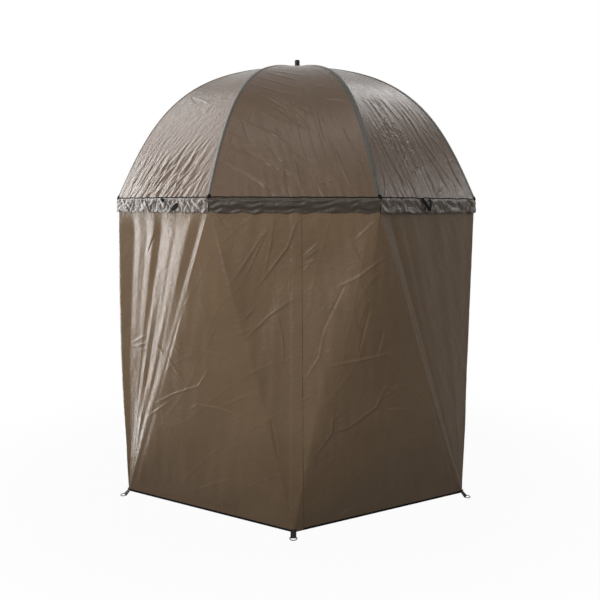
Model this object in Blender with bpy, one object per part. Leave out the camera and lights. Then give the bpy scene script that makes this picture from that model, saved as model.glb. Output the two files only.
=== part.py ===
"""Umbrella tent: a domed fishing umbrella with side walls that peg out to six corners.

The origin is on the ground under the centre, +Z is up, and the closed front faces -Y.
All lengths are in metres. Azimuths run from the front towards +X.
"""
import math

import bmesh
import bpy
from mathutils import Matrix, Vector

for leftover in list(bpy.data.objects):
    bpy.data.objects.remove(leftover, do_unlink=True)

# Tent
RIBS = 8
HEM_CORNERS = 6
BRIM_RADIUS = 0.930
WALL_HEIGHT = 1.420
HEM_LIFT = 0.020
HEM_RADIUS = 0.940
DOME_RISE = 0.675
VALANCE_HEIGHT = 0.062
CLOTH = 0.0015
CROWN_HOLE = 0.0125
SEAM_GAP = 0.0003
TOUCH_GAP = 0.0004
WEB_INSET = 0.0001
WEB_SHARE = 0.9
CUT_OVER = 0.002

# Facets round a full turn, for wide, middling and thin round pieces
WIDE_SIDES = 24
POLE_SIDES = 20
EYE_SIDES = 12
BAR_SIDES = 6

# Curve of a loaded rib: slope and handle length at the crown and at the brim
CROWN_SLOPE = math.radians(3.0)
CROWN_HANDLE = 0.609
BRIM_SLOPE = math.radians(65.6)
BRIM_HANDLE = 0.430

# Side walls and the zipped door in the rear
WALL_TOP_DROP = 0.015
WALL_TUCK = 0.005
DOOR_REACH = 0.349
DOOR_GAP = 0.003
SILL_HEIGHT = 0.050
ZIP_TAPE_WIDTH = 0.014
ZIP_TAPE_THICKNESS = 0.0008
ZIP_TEETH_WIDTH = 0.003
ZIP_TEETH_HEIGHT = 0.0022
ZIP_END = 0.006
SLIDER_LENGTH = 0.014
SLIDER_WALL = 0.0015
SLIDER_START = 0.010
PULL_LENGTH = 0.026
PULL_WIDTH = 0.0036
PULL_THICKNESS = 0.0013
PULL_GAP = 0.0008
PULL_START = 0.0085

# Peg loops at the hem corners
WEBBING_WIDTH = 0.025
WEBBING = 0.0016
WEBBING_SEWN = 0.012
LOOP_REACH = 0.018
RING_WIRE = 0.0015
RING_WIDTH = 0.035
RING_DEPTH = 0.026
RING_BAR = 0.9
RING_SHOULDER = 0.12
RING_SQUARENESS = 0.8
BAR_CLEARANCE = 0.00035
GROUND_GAP = 0.0002

# Ribs and stretchers
ROD_RADIUS = 0.0025
ROD_DEPTH = 0.0053
ROD_START = 0.012
ROD_END_GAP = 0.014
ARM_SHARE = 0.4
TIP_RADIUS = 0.0029
TIP_LENGTH = 0.018
TIP_OVERHANG = 0.002
PIVOT_WIRE = 0.00125
WIRE_CLEARANCE = 0.00035
EYE_RADIUS = 0.004
EYE_THICKNESS = 0.003
SLOT_WIDTH = 0.0044
RING_RADIUS = 0.030
FLANGE_RADIUS = 0.035
FLANGE_HALF = 0.006
SLOT_FLOOR = 0.0252
BRACKET_RADIUS = 0.380
BRACKET_LENGTH = 0.024
BRACKET_SLEEVE = 0.0036
BRACKET_LOWER = 0.0013
BRACKET_DROP = 0.012
LUG_THICKNESS = 0.002
LUG_RADIUS = 0.0045
PIN_RADIUS = 0.0022
PIVOT_SIDE = 0.0042
PIVOT_GAP = 0.0003
STRETCHER_RADIUS = 0.0025
STRETCHER_SIDE = 0.007
STRETCHER_START = 0.014
STRETCHER_END = 0.012
EAR_OVERLAP = 0.005
BOSS_RADIUS = 0.0032

# Pole, crown and runner
POLE_RADIUS = 0.011
POLE_WALL = 0.0012
SLIDE_GAP = 0.0003
HUB_DROP = 0.0045
HUB_SLEEVE = 0.030
SLEEVE_RADIUS = 0.0175
POLE_PROUD = 0.003
CAP_RADIUS = 0.0128
CAP_BASE_RADIUS = 0.0165
CAP_BASE_HEIGHT = 0.009
CAP_RIM = 0.003
CAP_CHAMFER = 0.003
CAP_HEIGHT = 0.037
CAP_STEM = 0.020
RUNNER_DROP = 0.385
RUNNER_SLEEVE = 0.046
RUNNER_WALL = 0.004
BUTTON_RADIUS = 0.0045
BUTTON_OUT = 0.034
BUTTON_IN = 0.019
BUTTON_TRAVEL = 0.003
BUTTON_HEAD = 0.0062
BUTTON_LEVEL = 0.026
HOUSING_OUT = 0.0265
HOUSING_WIDTH = 0.016
HOUSING_HEIGHT = 0.016

# Tilt knuckle and the lower, telescopic pole
KNUCKLE_HEIGHT = 0.800
KNUCKLE_RADIUS = 0.015
CHEEK_THICKNESS = 0.005
TONGUE_HALF = 0.0057
SHANK_HALF = 0.012
KNUCKLE_GAP = 0.0003
UPPER_SOCKET_START = 0.032
UPPER_SOCKET_LENGTH = 0.070
SOCKET_WALL = 0.004
SOCKET_FLOOR = 0.012
LOWER_SOCKET_START = 0.035
LOWER_SOCKET_LENGTH = 0.062
BOLT_RADIUS = 0.003
BOLT_HEAD = 0.007
BOLT_HEAD_HEIGHT = 0.004
WING_SPAN = 0.034
WING_THICKNESS = 0.004
WING_HEIGHT = 0.012
WING_SEAT = 0.003
WING_BOSS = 0.008
INNER_RADIUS = 0.0095
INNER_BOTTOM = 0.300
LOWER_TOP = 0.492
LOWER_BOTTOM = 0.058
COLLAR_HEIGHT = 0.030
COLLAR_WALL = 0.0045
COLLAR_LIP = 0.003
CLAMP_RADIUS = 0.003
CLAMP_BOSS = 0.0075
CLAMP_BOSS_OUT = 0.024
CLAMP_KNOB = 0.011
CLAMP_KNOB_LENGTH = 0.010
SPIKE_LENGTH = 0.050
SPIKE_POINT = 0.0012
SPIKE_SHANK = 0.034

# Levels that follow from the sizes above
BRIM_Z = HEM_LIFT + WALL_HEIGHT
APEX_Z = BRIM_Z + DOME_RISE
HALF_GORE = math.pi / RIBS
MID_BRIM = BRIM_RADIUS * math.cos(HALF_GORE)
HUB_Z = APEX_Z - HUB_DROP - FLANGE_HALF
RUNNER_Z = HUB_Z - RUNNER_DROP
WALL_TOP_Z = BRIM_Z - WALL_TOP_DROP
BAND_Z = BRIM_Z - VALANCE_HEIGHT - WALL_TUCK
DOOR_TOP_Z = BAND_Z - DOOR_GAP
SILL_Z = HEM_LIFT + SILL_HEIGHT
DOOR_BOTTOM_Z = SILL_Z + DOOR_GAP
WALL_MID = MID_BRIM - CLOTH - TOUCH_GAP
LOOP_RADIUS = RING_WIRE + BAR_CLEARANCE + WEBBING
EYE_HOLE = PIVOT_WIRE + WIRE_CLEARANCE

MATERIALS = {}


def material(name, color, roughness, metallic=0.0):
    """A named plain finish, made once."""
    if name not in MATERIALS:
        finish = bpy.data.materials.new(name)
        finish.use_nodes = True
        shader = finish.node_tree.nodes["Principled BSDF"]
        shader.inputs["Base Color"].default_value = (*color, 1.0)
        shader.inputs["Roughness"].default_value = roughness
        shader.inputs["Metallic"].default_value = metallic
        MATERIALS[name] = finish
    return MATERIALS[name]


def canopy_cloth():
    return material("canopy_cloth", (0.17, 0.14, 0.12), 0.45)


def wall_cloth():
    return material("wall_cloth", (0.15, 0.13, 0.11), 0.45)


def webbing_weave():
    return material("webbing_weave", (0.03, 0.03, 0.03), 0.8)


def rod_glassfibre():
    return material("rod_glassfibre", (0.04, 0.04, 0.04), 0.4)


def moulded_black():
    return material("moulded_black", (0.02, 0.02, 0.02), 0.45)


def pole_alloy():
    return material("pole_alloy", (0.55, 0.55, 0.57), 0.3, 1.0)


def bright_steel():
    return material("bright_steel", (0.6, 0.6, 0.62), 0.25, 1.0)


def heading(azimuth):
    """The level direction at an azimuth from the front, towards +X."""
    return Vector((math.sin(azimuth), -math.cos(azimuth), 0.0))


def turned_to(azimuth):
    """Rotation that turns +X to an azimuth."""
    return Matrix.Rotation(azimuth - math.pi / 2, 4, "Z")


def pivot(name, place):
    """An empty on a joint's axis, which carries the pieces that move there."""
    empty = bpy.data.objects.new(name, None)
    empty.empty_display_size = 0.03
    empty.matrix_world = place
    bpy.context.collection.objects.link(empty)
    return empty


def piece(name, mesh, finish, parent=None):
    """One named solid with its finish, under the empty that carries it."""
    if finish.name not in mesh.materials:
        mesh.materials.append(finish)
    thing = bpy.data.objects.new(name, mesh)
    bpy.context.collection.objects.link(thing)
    thing.parent = parent
    mesh.shade_smooth()
    mesh.set_sharp_from_angle(angle=math.radians(35))
    return thing


def mesh_of(shape):
    """A mesh from a bmesh, with its faces pointing out."""
    bmesh.ops.recalc_face_normals(shape, faces=shape.faces)
    mesh = bpy.data.meshes.new("shape")
    shape.to_mesh(mesh)
    shape.free()
    return mesh


def combined(base, joins=(), cuts=()):
    """The mesh of one shape with others joined to it and then cut from it."""
    def stand_in(shape):
        helper = bpy.data.objects.new("helper", mesh_of(shape))
        helper.hide_render = True
        helper.display_type = "WIRE"
        bpy.context.collection.objects.link(helper)
        return helper

    helpers = [stand_in(base)]
    for operation, tools in (("UNION", joins), ("DIFFERENCE", cuts)):
        for tool in tools:
            helpers.append(stand_in(tool))
            step = helpers[0].modifiers.new(operation.lower(), "BOOLEAN")
            step.operation = operation
            step.object = helpers[-1]
    bpy.context.view_layer.update()
    result = helpers[0].evaluated_get(bpy.context.evaluated_depsgraph_get())
    mesh = bpy.data.meshes.new_from_object(result)
    for helper in helpers:
        bpy.data.objects.remove(helper, do_unlink=True)
    return mesh


def box(low, high):
    shape = bmesh.new()
    size = Vector(high) - Vector(low)
    middle = (Vector(high) + Vector(low)) / 2
    place = Matrix.Translation(middle) @ Matrix.Diagonal((*size, 1.0))
    bmesh.ops.create_cube(shape, size=1.0, matrix=place)
    return shape


def cylinder(start, end, radius, sides=EYE_SIDES):
    """A round bar between two points."""
    shape = bmesh.new()
    along = Vector(end) - Vector(start)
    place = Matrix.Translation((Vector(start) + Vector(end)) / 2)
    place @= along.to_track_quat("Z", "Y").to_matrix().to_4x4()
    bmesh.ops.create_cone(
        shape, cap_ends=True, segments=sides, depth=along.length, matrix=place,
        radius1=radius, radius2=radius,
    )
    return shape


def turned(outline, sides=POLE_SIDES):
    """A solid of revolution about Z from a closed outline of (radius, height) points."""
    shape = bmesh.new()
    rings = []
    for step in range(sides):
        side = heading(2 * math.pi * step / sides)
        rings.append([shape.verts.new(side * r + Vector((0, 0, z))) for r, z in outline])
    for ring, following in zip(rings, rings[1:] + rings[:1]):
        for i in range(len(outline)):
            j = (i + 1) % len(outline)
            shape.faces.new((ring[i], ring[j], following[j], following[i]))
    bmesh.ops.remove_doubles(shape, verts=shape.verts, dist=1e-6)
    bmesh.ops.dissolve_degenerate(shape, edges=shape.edges, dist=1e-6)
    return shape


def tube(outer, inner, low, high):
    """A plain tube about Z."""
    return turned([(outer, low), (outer, high), (inner, high), (inner, low)])


def extruded(outline, start, along):
    """A prism from a closed outline of points, moved to start and pushed along."""
    shape = bmesh.new()
    corners = [shape.verts.new(Vector(start) + Vector(point)) for point in outline]
    face = shape.faces.new(corners)
    pushed = bmesh.ops.extrude_face_region(shape, geom=[face])["geom"]
    moved = [item for item in pushed if isinstance(item, bmesh.types.BMVert)]
    bmesh.ops.translate(shape, verts=moved, vec=Vector(along))
    return shape


def swept(path, radius, closed=False):
    """A round bar along a path."""
    shape = bmesh.new()
    count = len(path)
    rings = []
    tangent = (path[1] - path[0]).normalized()
    upright = tangent.orthogonal().normalized()
    for i, point in enumerate(path):
        before = path[i - 1] if closed or i else point
        after = path[(i + 1) % count] if closed or i < count - 1 else point
        bend = tangent.rotation_difference(after - before)
        tangent = (after - before).normalized()
        upright = bend @ upright
        across = tangent.cross(upright)
        turns = [2 * math.pi * k / BAR_SIDES for k in range(BAR_SIDES)]
        rings.append([
            shape.verts.new(point + (upright * math.cos(a) + across * math.sin(a)) * radius)
            for a in turns
        ])
    pairs = list(zip(rings, rings[1:] + rings[:1])) if closed else list(zip(rings, rings[1:]))
    for ring, following in pairs:
        for k in range(BAR_SIDES):
            m = (k + 1) % BAR_SIDES
            shape.faces.new((ring[k], ring[m], following[m], following[k]))
    if not closed:
        shape.faces.new(rings[0])
        shape.faces.new(rings[-1])
    return shape


def shell(outer, inner, keep=lambda i, j: True):
    """A closed sheet between two grids of points, in the cells that are kept."""
    shape = bmesh.new()
    fronts = [[shape.verts.new(point) for point in row] for row in outer]
    backs = [[shape.verts.new(point) for point in row] for row in inner]
    edges = {}
    for i in range(len(outer) - 1):
        for j in range(len(outer[0]) - 1):
            if not keep(i, j):
                continue
            corners = ((i, j), (i + 1, j), (i + 1, j + 1), (i, j + 1))
            shape.faces.new([fronts[a][b] for a, b in corners])
            shape.faces.new([backs[a][b] for a, b in reversed(corners)])
            for start, end in zip(corners, corners[1:] + corners[:1]):
                edges[start, end] = True
    for (a, b), (c, d) in edges:
        if ((c, d), (a, b)) not in edges:
            shape.faces.new((fronts[c][d], fronts[a][b], backs[a][b], backs[c][d]))
    loose = [vert for vert in shape.verts if not vert.link_faces]
    bmesh.ops.delete(shape, geom=loose, context="VERTS")
    bmesh.ops.remove_doubles(shape, verts=shape.verts, dist=1e-6)
    return shape


def dome(t):
    """Radius, height and unit tangent of the canopy's outer line above a rib, t from 0 to 1."""
    ends = Vector((0.0, APEX_Z)), Vector((BRIM_RADIUS, BRIM_Z))
    first = ends[0] + Vector((math.cos(CROWN_SLOPE), -math.sin(CROWN_SLOPE))) * CROWN_HANDLE
    second = ends[1] + Vector((-math.cos(BRIM_SLOPE), math.sin(BRIM_SLOPE))) * BRIM_HANDLE
    s = 1 - t
    point = s**3 * ends[0] + 3 * s * s * t * first + 3 * s * t * t * second + t**3 * ends[1]
    slope = s * s * (first - ends[0]) + 2 * s * t * (second - first) + t * t * (ends[1] - second)
    return point, slope.normalized()


def dome_at(radius):
    """The value of t where the outer line above a rib has this radius."""
    low, high = 0.0, 1.0
    for _ in range(40):
        middle = (low + high) / 2
        if dome(middle)[0].x < radius:
            low = middle
        else:
            high = middle
    return low


def under_dome(t, depth):
    """A point below the canopy's outer line, in the plane of a rib."""
    point, tangent = dome(t)
    return point + Vector((tangent.y, -tangent.x)) * depth


def canopy_panel_mesh():
    """One gore from the crown to the valance's edge, in the frame of the rib at its start."""
    steps = 24
    start = dome_at(CROWN_HOLE / math.cos(HALF_GORE))
    line = []
    for i in range(steps + 1):
        point = dome(start + (1 - start) * i / steps)[0]
        line.append(Vector((point.x * math.cos(HALF_GORE), point.y)))
    line.append(Vector((MID_BRIM, BRIM_Z - VALANCE_HEIGHT)))
    inner = []
    for i, point in enumerate(line):
        before = (point - line[max(i - 1, 0)]).normalized() if i else None
        after = (line[i + 1] - point).normalized() if i < len(line) - 1 else None
        sides = [Vector((d.y, -d.x)) for d in (before, after) if d is not None]
        middle = sum(sides, Vector((0, 0))).normalized()
        inner.append(point + middle * (CLOTH / middle.dot(sides[0])))
    toward = Vector((math.cos(HALF_GORE), math.sin(HALF_GORE), 0))
    across = Vector((-math.sin(HALF_GORE), math.cos(HALF_GORE), 0))
    centre = Vector((-RING_RADIUS, 0, -HUB_Z))

    def grid(points):
        rows = []
        for point in points:
            half = point.x * math.tan(HALF_GORE) - SEAM_GAP / 2
            level = centre + toward * point.x + Vector((0, 0, point.y))
            rows.append([level + across * half * u for u in (-1, 1)])
        return rows

    return mesh_of(shell(grid(line), grid(inner)))


def rib_path():
    """Centre line of a rib's rod, in the rib's own frame."""
    steps = 16
    first = dome_at(RING_RADIUS + ROD_START)
    last = dome_at(BRIM_RADIUS - ROD_END_GAP)
    path = []
    for i in range(steps + 1):
        point = under_dome(first + (last - first) * i / steps, ROD_DEPTH)
        path.append(Vector((point.x - RING_RADIUS, 0, point.y - HUB_Z)))
    return path


def bracket_pivot():
    """Where the stretcher meets the rib, in the rib's plane, and the rod's tangent there."""
    t = dome_at(BRACKET_RADIUS)
    return under_dome(t, ROD_DEPTH + BRACKET_DROP), dome(t)[1]


def rib_mesh():
    """Glassfibre rod with its hinge eye, its stretcher bracket and its tip cap."""
    path = rib_path()
    half = EYE_THICKNESS / 2
    eye = cylinder((0, -half, 0), (0, half, 0), EYE_RADIUS)
    arm_end = path[0].lerp(path[1], ARM_SHARE)
    high = Vector((0, 0, EYE_RADIUS * WEB_SHARE))
    wide = Vector((0, 0, ROD_RADIUS * WEB_SHARE))
    arm = [-high, high, arm_end + wide, arm_end - wide]
    web_half = Vector((0, half - WEB_INSET, 0))
    arm = extruded(arm, -web_half, web_half * 2)
    pin, tangent = bracket_pivot()
    pin = Vector((pin.x - RING_RADIUS, 0, pin.y - HUB_Z))
    along = Vector((tangent.x, 0, tangent.y))
    above = Vector((-along.z, 0, along.x))
    seat = pin + above * (BRACKET_DROP - BRACKET_LOWER)
    sleeve = cylinder(
        seat - along * BRACKET_LENGTH / 2, seat + along * BRACKET_LENGTH / 2, BRACKET_SLEEVE
    )
    side = Vector((0, LUG_THICKNESS / 2, 0))
    lug = cylinder(pin - side, pin + side, LUG_RADIUS)
    foot = along * LUG_RADIUS * WEB_SHARE
    head = above * BRACKET_DROP * WEB_SHARE
    web = [foot, head + foot, head - foot, -foot]
    thin = Vector((0, LUG_THICKNESS / 2 - WEB_INSET, 0))
    web = extruded([pin - thin + corner for corner in web], (0, 0, 0), thin * 2)
    rivet = cylinder(pin + side / 2, pin - Vector((0, PIVOT_SIDE, 0)), PIN_RADIUS, BAR_SIDES)
    end = path[-1]
    tail = (path[-1] - path[-2]).normalized()
    tip = cylinder(end - tail * TIP_LENGTH, end + tail * TIP_OVERHANG, TIP_RADIUS)
    hole = cylinder((0, -EYE_THICKNESS, 0), (0, EYE_THICKNESS, 0), EYE_HOLE, BAR_SIDES)
    return combined(
        swept(path, ROD_RADIUS), (arm, eye, sleeve, web, lug, rivet, tip), (hole,)
    )


def stretcher_run():
    """From the runner's pivot to the bracket's pivot, in the rib's plane."""
    pin = bracket_pivot()[0]
    return Vector((pin.x - RING_RADIUS, 0, pin.y - RUNNER_Z))


def stretcher_mesh():
    """Steel stretcher with flattened eyes, beside the rib's plane."""
    run = stretcher_run()
    along = run.normalized()
    aside = Vector((0, -STRETCHER_SIDE, 0))
    half = Vector((0, EYE_THICKNESS / 2, 0))
    thin = Vector((0, EYE_THICKNESS / 2 - WEB_INSET, 0))
    rod = cylinder(
        aside + along * STRETCHER_START, aside + run - along * STRETCHER_END, STRETCHER_RADIUS,
        BAR_SIDES,
    )
    above = Vector((-along.z, 0, along.x))
    joins = []
    for middle, toward, reach in (
        (Vector(), along, STRETCHER_START), (run, -along, STRETCHER_END)
    ):
        joins.append(cylinder(middle + aside - half, middle + aside + half, EYE_RADIUS))
        high = above * EYE_RADIUS * WEB_SHARE
        wide = above * STRETCHER_RADIUS * WEB_SHARE
        far = toward * (reach + EAR_OVERLAP)
        ear = [high, far + wide, far - wide, -high]
        corners = [middle + aside - thin + corner for corner in ear]
        joins.append(extruded(corners, (0, 0, 0), thin * 2))
    boss = run - Vector((0, PIVOT_SIDE + PIVOT_GAP, 0))
    joins.append(cylinder(run + aside, boss, BOSS_RADIUS))
    hole = cylinder(aside - half * 2, aside + half * 2, EYE_HOLE, BAR_SIDES)
    return combined(rod, joins, (hole,))


def pivot_wire_mesh(level):
    """Wire ring with one straight side through each eye of a slotted flange."""
    corner = RING_RADIUS / math.cos(HALF_GORE)
    path = [heading(2 * math.pi * k / RIBS) * corner + Vector((0, 0, level)) for k in range(RIBS)]
    return mesh_of(swept(path, PIVOT_WIRE, True))


def flange_cuts(level, side):
    """Slots for the eyes and a channel for the wire, as cutters."""
    slots = []
    tall = FLANGE_HALF + CUT_OVER
    for k in range(RIBS):
        turn = turned_to((k + 0.5) * 2 * math.pi / RIBS)
        slot = box(
            (SLOT_FLOOR, side - SLOT_WIDTH / 2, -tall),
            (FLANGE_RADIUS + CUT_OVER, side + SLOT_WIDTH / 2, tall),
        )
        bmesh.ops.transform(
            slot, matrix=Matrix.Translation((0, 0, level)) @ turn, verts=slot.verts
        )
        slots.append(slot)
    corner = RING_RADIUS / math.cos(HALF_GORE)
    path = [heading(2 * math.pi * k / RIBS) * corner + Vector((0, 0, level)) for k in range(RIBS)]
    return slots + [swept(path, EYE_HOLE, True)]


def wall_knots():
    """Matching points of the eight-sided top and the six-sided hem, front to rear."""
    corner = WALL_MID / math.cos(HALF_GORE)
    tops = [heading(0) * WALL_MID] + [heading(HALF_GORE) * corner] * 2
    tops += [heading(3 * HALF_GORE) * corner, heading(5 * HALF_GORE) * corner]
    tops += [heading(7 * HALF_GORE) * corner] * 2 + [heading(math.pi) * WALL_MID]
    turn = 2 * math.pi / HEM_CORNERS
    hems = [heading(turn * k) * HEM_RADIUS for k in (0, 0, 1, 1, 2, 2, 3, 3)]
    return tops, hems


def wall_point(w, z, depth=0.0, shift=0.0):
    """A point at place w of the wall's outer face, or behind it by depth, moved sideways."""
    tops, hems = wall_knots()
    i = min(int(w), len(tops) - 2)
    top = tops[i].lerp(tops[i + 1], w - i)
    hem = hems[i].lerp(hems[i + 1], w - i)
    down = min(max((BAND_Z - z) / (BAND_Z - HEM_LIFT), 0.0), 1.0)
    point = top.lerp(hem, down)
    point += (tops[i + 1] - tops[i] + hems[i + 1] - hems[i]).normalized() * shift
    point -= point.normalized() * depth / math.cos(HALF_GORE)
    return Vector((max(point.x, SEAM_GAP), point.y, z))


def door_hinge_place():
    """Place along the wall of the door's hinge line, from its reach along the hem."""
    tops, hems = wall_knots()
    return 6 - DOOR_REACH / (hems[6] - hems[5]).length


def rows_between(low, high, count):
    return [low + (high - low) * i / count for i in range(count + 1)]


def wall_mesh():
    """The right half of the wrap: front seam to rear middle, open where the door goes."""
    hinge = door_hinge_place()
    places = [i / 2 for i in range(11)] + [(5 + hinge) / 2, hinge]
    solid = len(places) - 1
    places += [6, 6.5, 7]
    levels = [WALL_TOP_Z, BAND_Z] + rows_between(BAND_Z, SILL_Z, 10)[1:] + [HEM_LIFT]

    def grid(depth):
        """Rows of points, which stop short of the hinge line where the door begins."""
        rows = []
        for z in levels:
            edge = -SEAM_GAP if z < BAND_Z else 0.0
            rows.append([wall_point(w, z, depth, edge if w == hinge else 0.0) for w in places])
        return rows

    edge_rows = (0, len(levels) - 2)
    return mesh_of(shell(grid(0.0), grid(CLOTH), lambda i, j: j < solid or i in edge_rows))


def door_mesh():
    """The right door flap, from its hinge line to the zip."""
    hinge = door_hinge_place()
    places = [hinge, (hinge + 6) / 2, 6, 6.5, 7]
    levels = rows_between(DOOR_TOP_Z, DOOR_BOTTOM_Z, 8)

    def grid(depth):
        shifts = [SEAM_GAP] + [0.0] * (len(places) - 1)
        return [[wall_point(w, z, depth, s) for w, s in zip(places, shifts)] for z in levels]

    return mesh_of(shell(grid(0.0), grid(CLOTH)))


def zip_line():
    """Lower end, direction, length and outward normal of the zip on the door's middle line."""
    low = wall_point(7, DOOR_BOTTOM_Z)
    along = (wall_point(7, DOOR_TOP_Z) - low).normalized()
    length = (wall_point(7, DOOR_TOP_Z) - low).length - 2 * ZIP_END
    low.x = 0.0
    return low + along * ZIP_END, along, length, Vector((0, along.z, -along.y))


def zip_tape_mesh():
    """Sewn tape with its row of teeth, on the outer face of the right flap."""
    low, along, length, out = zip_line()
    flat = TOUCH_GAP + ZIP_TAPE_THICKNESS
    crest = flat + ZIP_TEETH_HEIGHT
    section = [(SEAM_GAP, TOUCH_GAP), (ZIP_TAPE_WIDTH, TOUCH_GAP), (ZIP_TAPE_WIDTH, flat)]
    section += [(ZIP_TEETH_WIDTH, flat), (ZIP_TEETH_WIDTH, crest), (SEAM_GAP, crest)]
    outline = [Vector((x, 0, 0)) + out * n for x, n in section]
    return mesh_of(extruded(outline, low, along * length))


def zip_slider_mesh():
    """Slider that wraps the teeth from above and from one side, with its pull hanging."""
    low, along, _, out = zip_line()
    crest = TOUCH_GAP + ZIP_TAPE_THICKNESS + ZIP_TEETH_HEIGHT + TOUCH_GAP
    foot = TOUCH_GAP + ZIP_TAPE_THICKNESS + TOUCH_GAP
    inside = ZIP_TEETH_WIDTH + TOUCH_GAP
    wide = inside + 2 * SLIDER_WALL
    section = [(SEAM_GAP, crest), (inside, crest), (inside, foot), (wide, foot)]
    section += [(wide, crest + SLIDER_WALL), (SEAM_GAP, crest + SLIDER_WALL)]
    start = low + along * SLIDER_START
    body = extruded(
        [Vector((x, 0, 0)) + out * n for x, n in section], start, along * SLIDER_LENGTH
    )
    back = crest + SLIDER_WALL
    near = back + PULL_GAP
    far = near + PULL_THICKNESS
    neck = [(PULL_WIDTH / 3, back - SLIDER_WALL / 2), (PULL_WIDTH * 2 / 3, back - SLIDER_WALL / 2)]
    neck += [(PULL_WIDTH * 2 / 3, (near + far) / 2), (PULL_WIDTH / 3, (near + far) / 2)]
    neck = extruded(
        [Vector((x, 0, 0)) + out * n for x, n in neck],
        start + along * SLIDER_LENGTH / 3, along * SLIDER_LENGTH / 3,
    )
    pull = [(SEAM_GAP, near), (SEAM_GAP + PULL_WIDTH, near)]
    pull += [(SEAM_GAP + PULL_WIDTH, far), (SEAM_GAP, far)]
    pull = extruded(
        [Vector((x, 0, 0)) + out * n for x, n in pull],
        start + along * PULL_START, along * -PULL_LENGTH,
    )
    return combined(body, (neck, pull))


def corner_tab_mesh():
    """Webbing sewn to a hem corner and looped round the ring's bar; +X points outwards."""
    near = TOUCH_GAP
    far = TOUCH_GAP + WEBBING
    bar = Vector((LOOP_REACH, 0, LOOP_RADIUS))
    toward = Vector((bar.x - far, 0, bar.z - HEM_LIFT)).normalized()
    above = Vector((-toward.z, 0, toward.x))
    half = Vector((0, WEBBING_WIDTH / 2, 0))
    outline = [(near, 0, HEM_LIFT + WEBBING_SEWN), (near, 0, HEM_LIFT - WEBBING)]
    outline += [bar - above * LOOP_RADIUS * WEB_SHARE, bar + above * LOOP_RADIUS * WEB_SHARE]
    outline += [(far, 0, HEM_LIFT + WEBBING), (far, 0, HEM_LIFT + WEBBING_SEWN)]
    strap = extruded([Vector(corner) - half for corner in outline], (0, 0, 0), half * 2)
    loop = cylinder(bar - half, bar + half, LOOP_RADIUS, POLE_SIDES)
    past = half + Vector((0, CUT_OVER, 0))
    hole = cylinder(bar - past, bar + past, RING_WIRE + BAR_CLEARANCE)
    return combined(strap, (loop,), (hole,))


def ring_mesh():
    """Bent-wire D-ring: the bar lies on Y through the origin and the bow points to +X."""
    wide = RING_WIDTH / 2 - RING_WIRE
    deep = RING_DEPTH - 2 * RING_WIRE
    bar = wide * RING_BAR
    path = [Vector((0, y, 0)) for y in (-bar, -bar / 3, bar / 3, bar)]
    bends = 10
    for i in range(bends + 1):
        turn = math.pi * (i / bends - 0.5)
        bow = math.copysign(abs(math.sin(turn)) ** RING_SQUARENESS, -math.sin(turn))
        reach = RING_SHOULDER + (1 - RING_SHOULDER) * math.cos(turn)
        path.append(Vector((deep * reach, wide * bow, 0)))
    return mesh_of(swept(path, RING_WIRE, True))


def ring_droop():
    """Angle by which a ring slopes from its bar down to the ground."""
    deep = RING_DEPTH - 2 * RING_WIRE
    return math.asin((LOOP_RADIUS - RING_WIRE - GROUND_GAP) / deep)


def mirrored(mesh):
    """A mesh reflected in the plane x = 0."""
    shape = bmesh.new()
    shape.from_mesh(mesh)
    bmesh.ops.transform(shape, matrix=Matrix.Scale(-1, 4, (1, 0, 0)), verts=shape.verts)
    bmesh.ops.reverse_faces(shape, faces=shape.faces)
    return mesh_of(shape)


def moved_to(mesh, place):
    """A copy of a mesh in the frame of a place, so that it stays where it was."""
    copy = mesh.copy()
    copy.transform(place.inverted())
    return copy


def build_canopy():
    """Ribs on the crown's wire, each with the gore that starts at it."""
    rib = rib_mesh()
    panel = canopy_panel_mesh()
    for k in range(RIBS):
        azimuth = (2 * k + 1) * HALF_GORE
        place = Matrix.Translation(heading(azimuth) * RING_RADIUS + Vector((0, 0, HUB_Z)))
        hinge = pivot(f"rib_hinge_{k + 1}", place @ turned_to(azimuth))
        piece(f"rib_{k + 1}", rib, rod_glassfibre(), hinge)
        piece(f"canopy_panel_{k + 1}", panel, canopy_cloth(), hinge)


def build_crown():
    """Slotted crown with its pivot wire, the upper pole and the cap that clamps the cloth."""
    bore = POLE_RADIUS + SLIDE_GAP
    top = HUB_Z + FLANGE_HALF
    bottom = HUB_Z - FLANGE_HALF
    outline = [(FLANGE_RADIUS, bottom), (FLANGE_RADIUS, top), (bore, top)]
    outline += [(bore, bottom - HUB_SLEEVE), (SLEEVE_RADIUS, bottom - HUB_SLEEVE)]
    outline += [(SLEEVE_RADIUS, bottom)]
    hub = combined(turned(outline, WIDE_SIDES), (), flange_cuts(HUB_Z, 0.0))
    piece("crown_hub", hub, moulded_black())
    piece("crown_wire", pivot_wire_mesh(HUB_Z), bright_steel())
    pole_bottom = KNUCKLE_HEIGHT + UPPER_SOCKET_START + SOCKET_FLOOR + KNUCKLE_GAP
    pole_top = top + HUB_DROP - POLE_PROUD
    upper = tube(POLE_RADIUS, POLE_RADIUS - POLE_WALL, pole_bottom, pole_top)
    piece("top_pole", mesh_of(upper), pole_alloy())
    stem = POLE_RADIUS - POLE_WALL - SLIDE_GAP
    foot = APEX_Z + SEAM_GAP
    outline = [(0, foot - CAP_STEM), (stem, foot - CAP_STEM), (stem, foot)]
    outline += [(CAP_BASE_RADIUS, foot), (CAP_BASE_RADIUS, foot + CAP_RIM)]
    outline += [(CAP_RADIUS, foot + CAP_BASE_HEIGHT), (CAP_RADIUS, foot + CAP_HEIGHT - CAP_CHAMFER)]
    outline += [(CAP_RADIUS - CAP_CHAMFER, foot + CAP_HEIGHT), (0, foot + CAP_HEIGHT)]
    piece("top_cap", mesh_of(turned(outline)), moulded_black())


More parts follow.
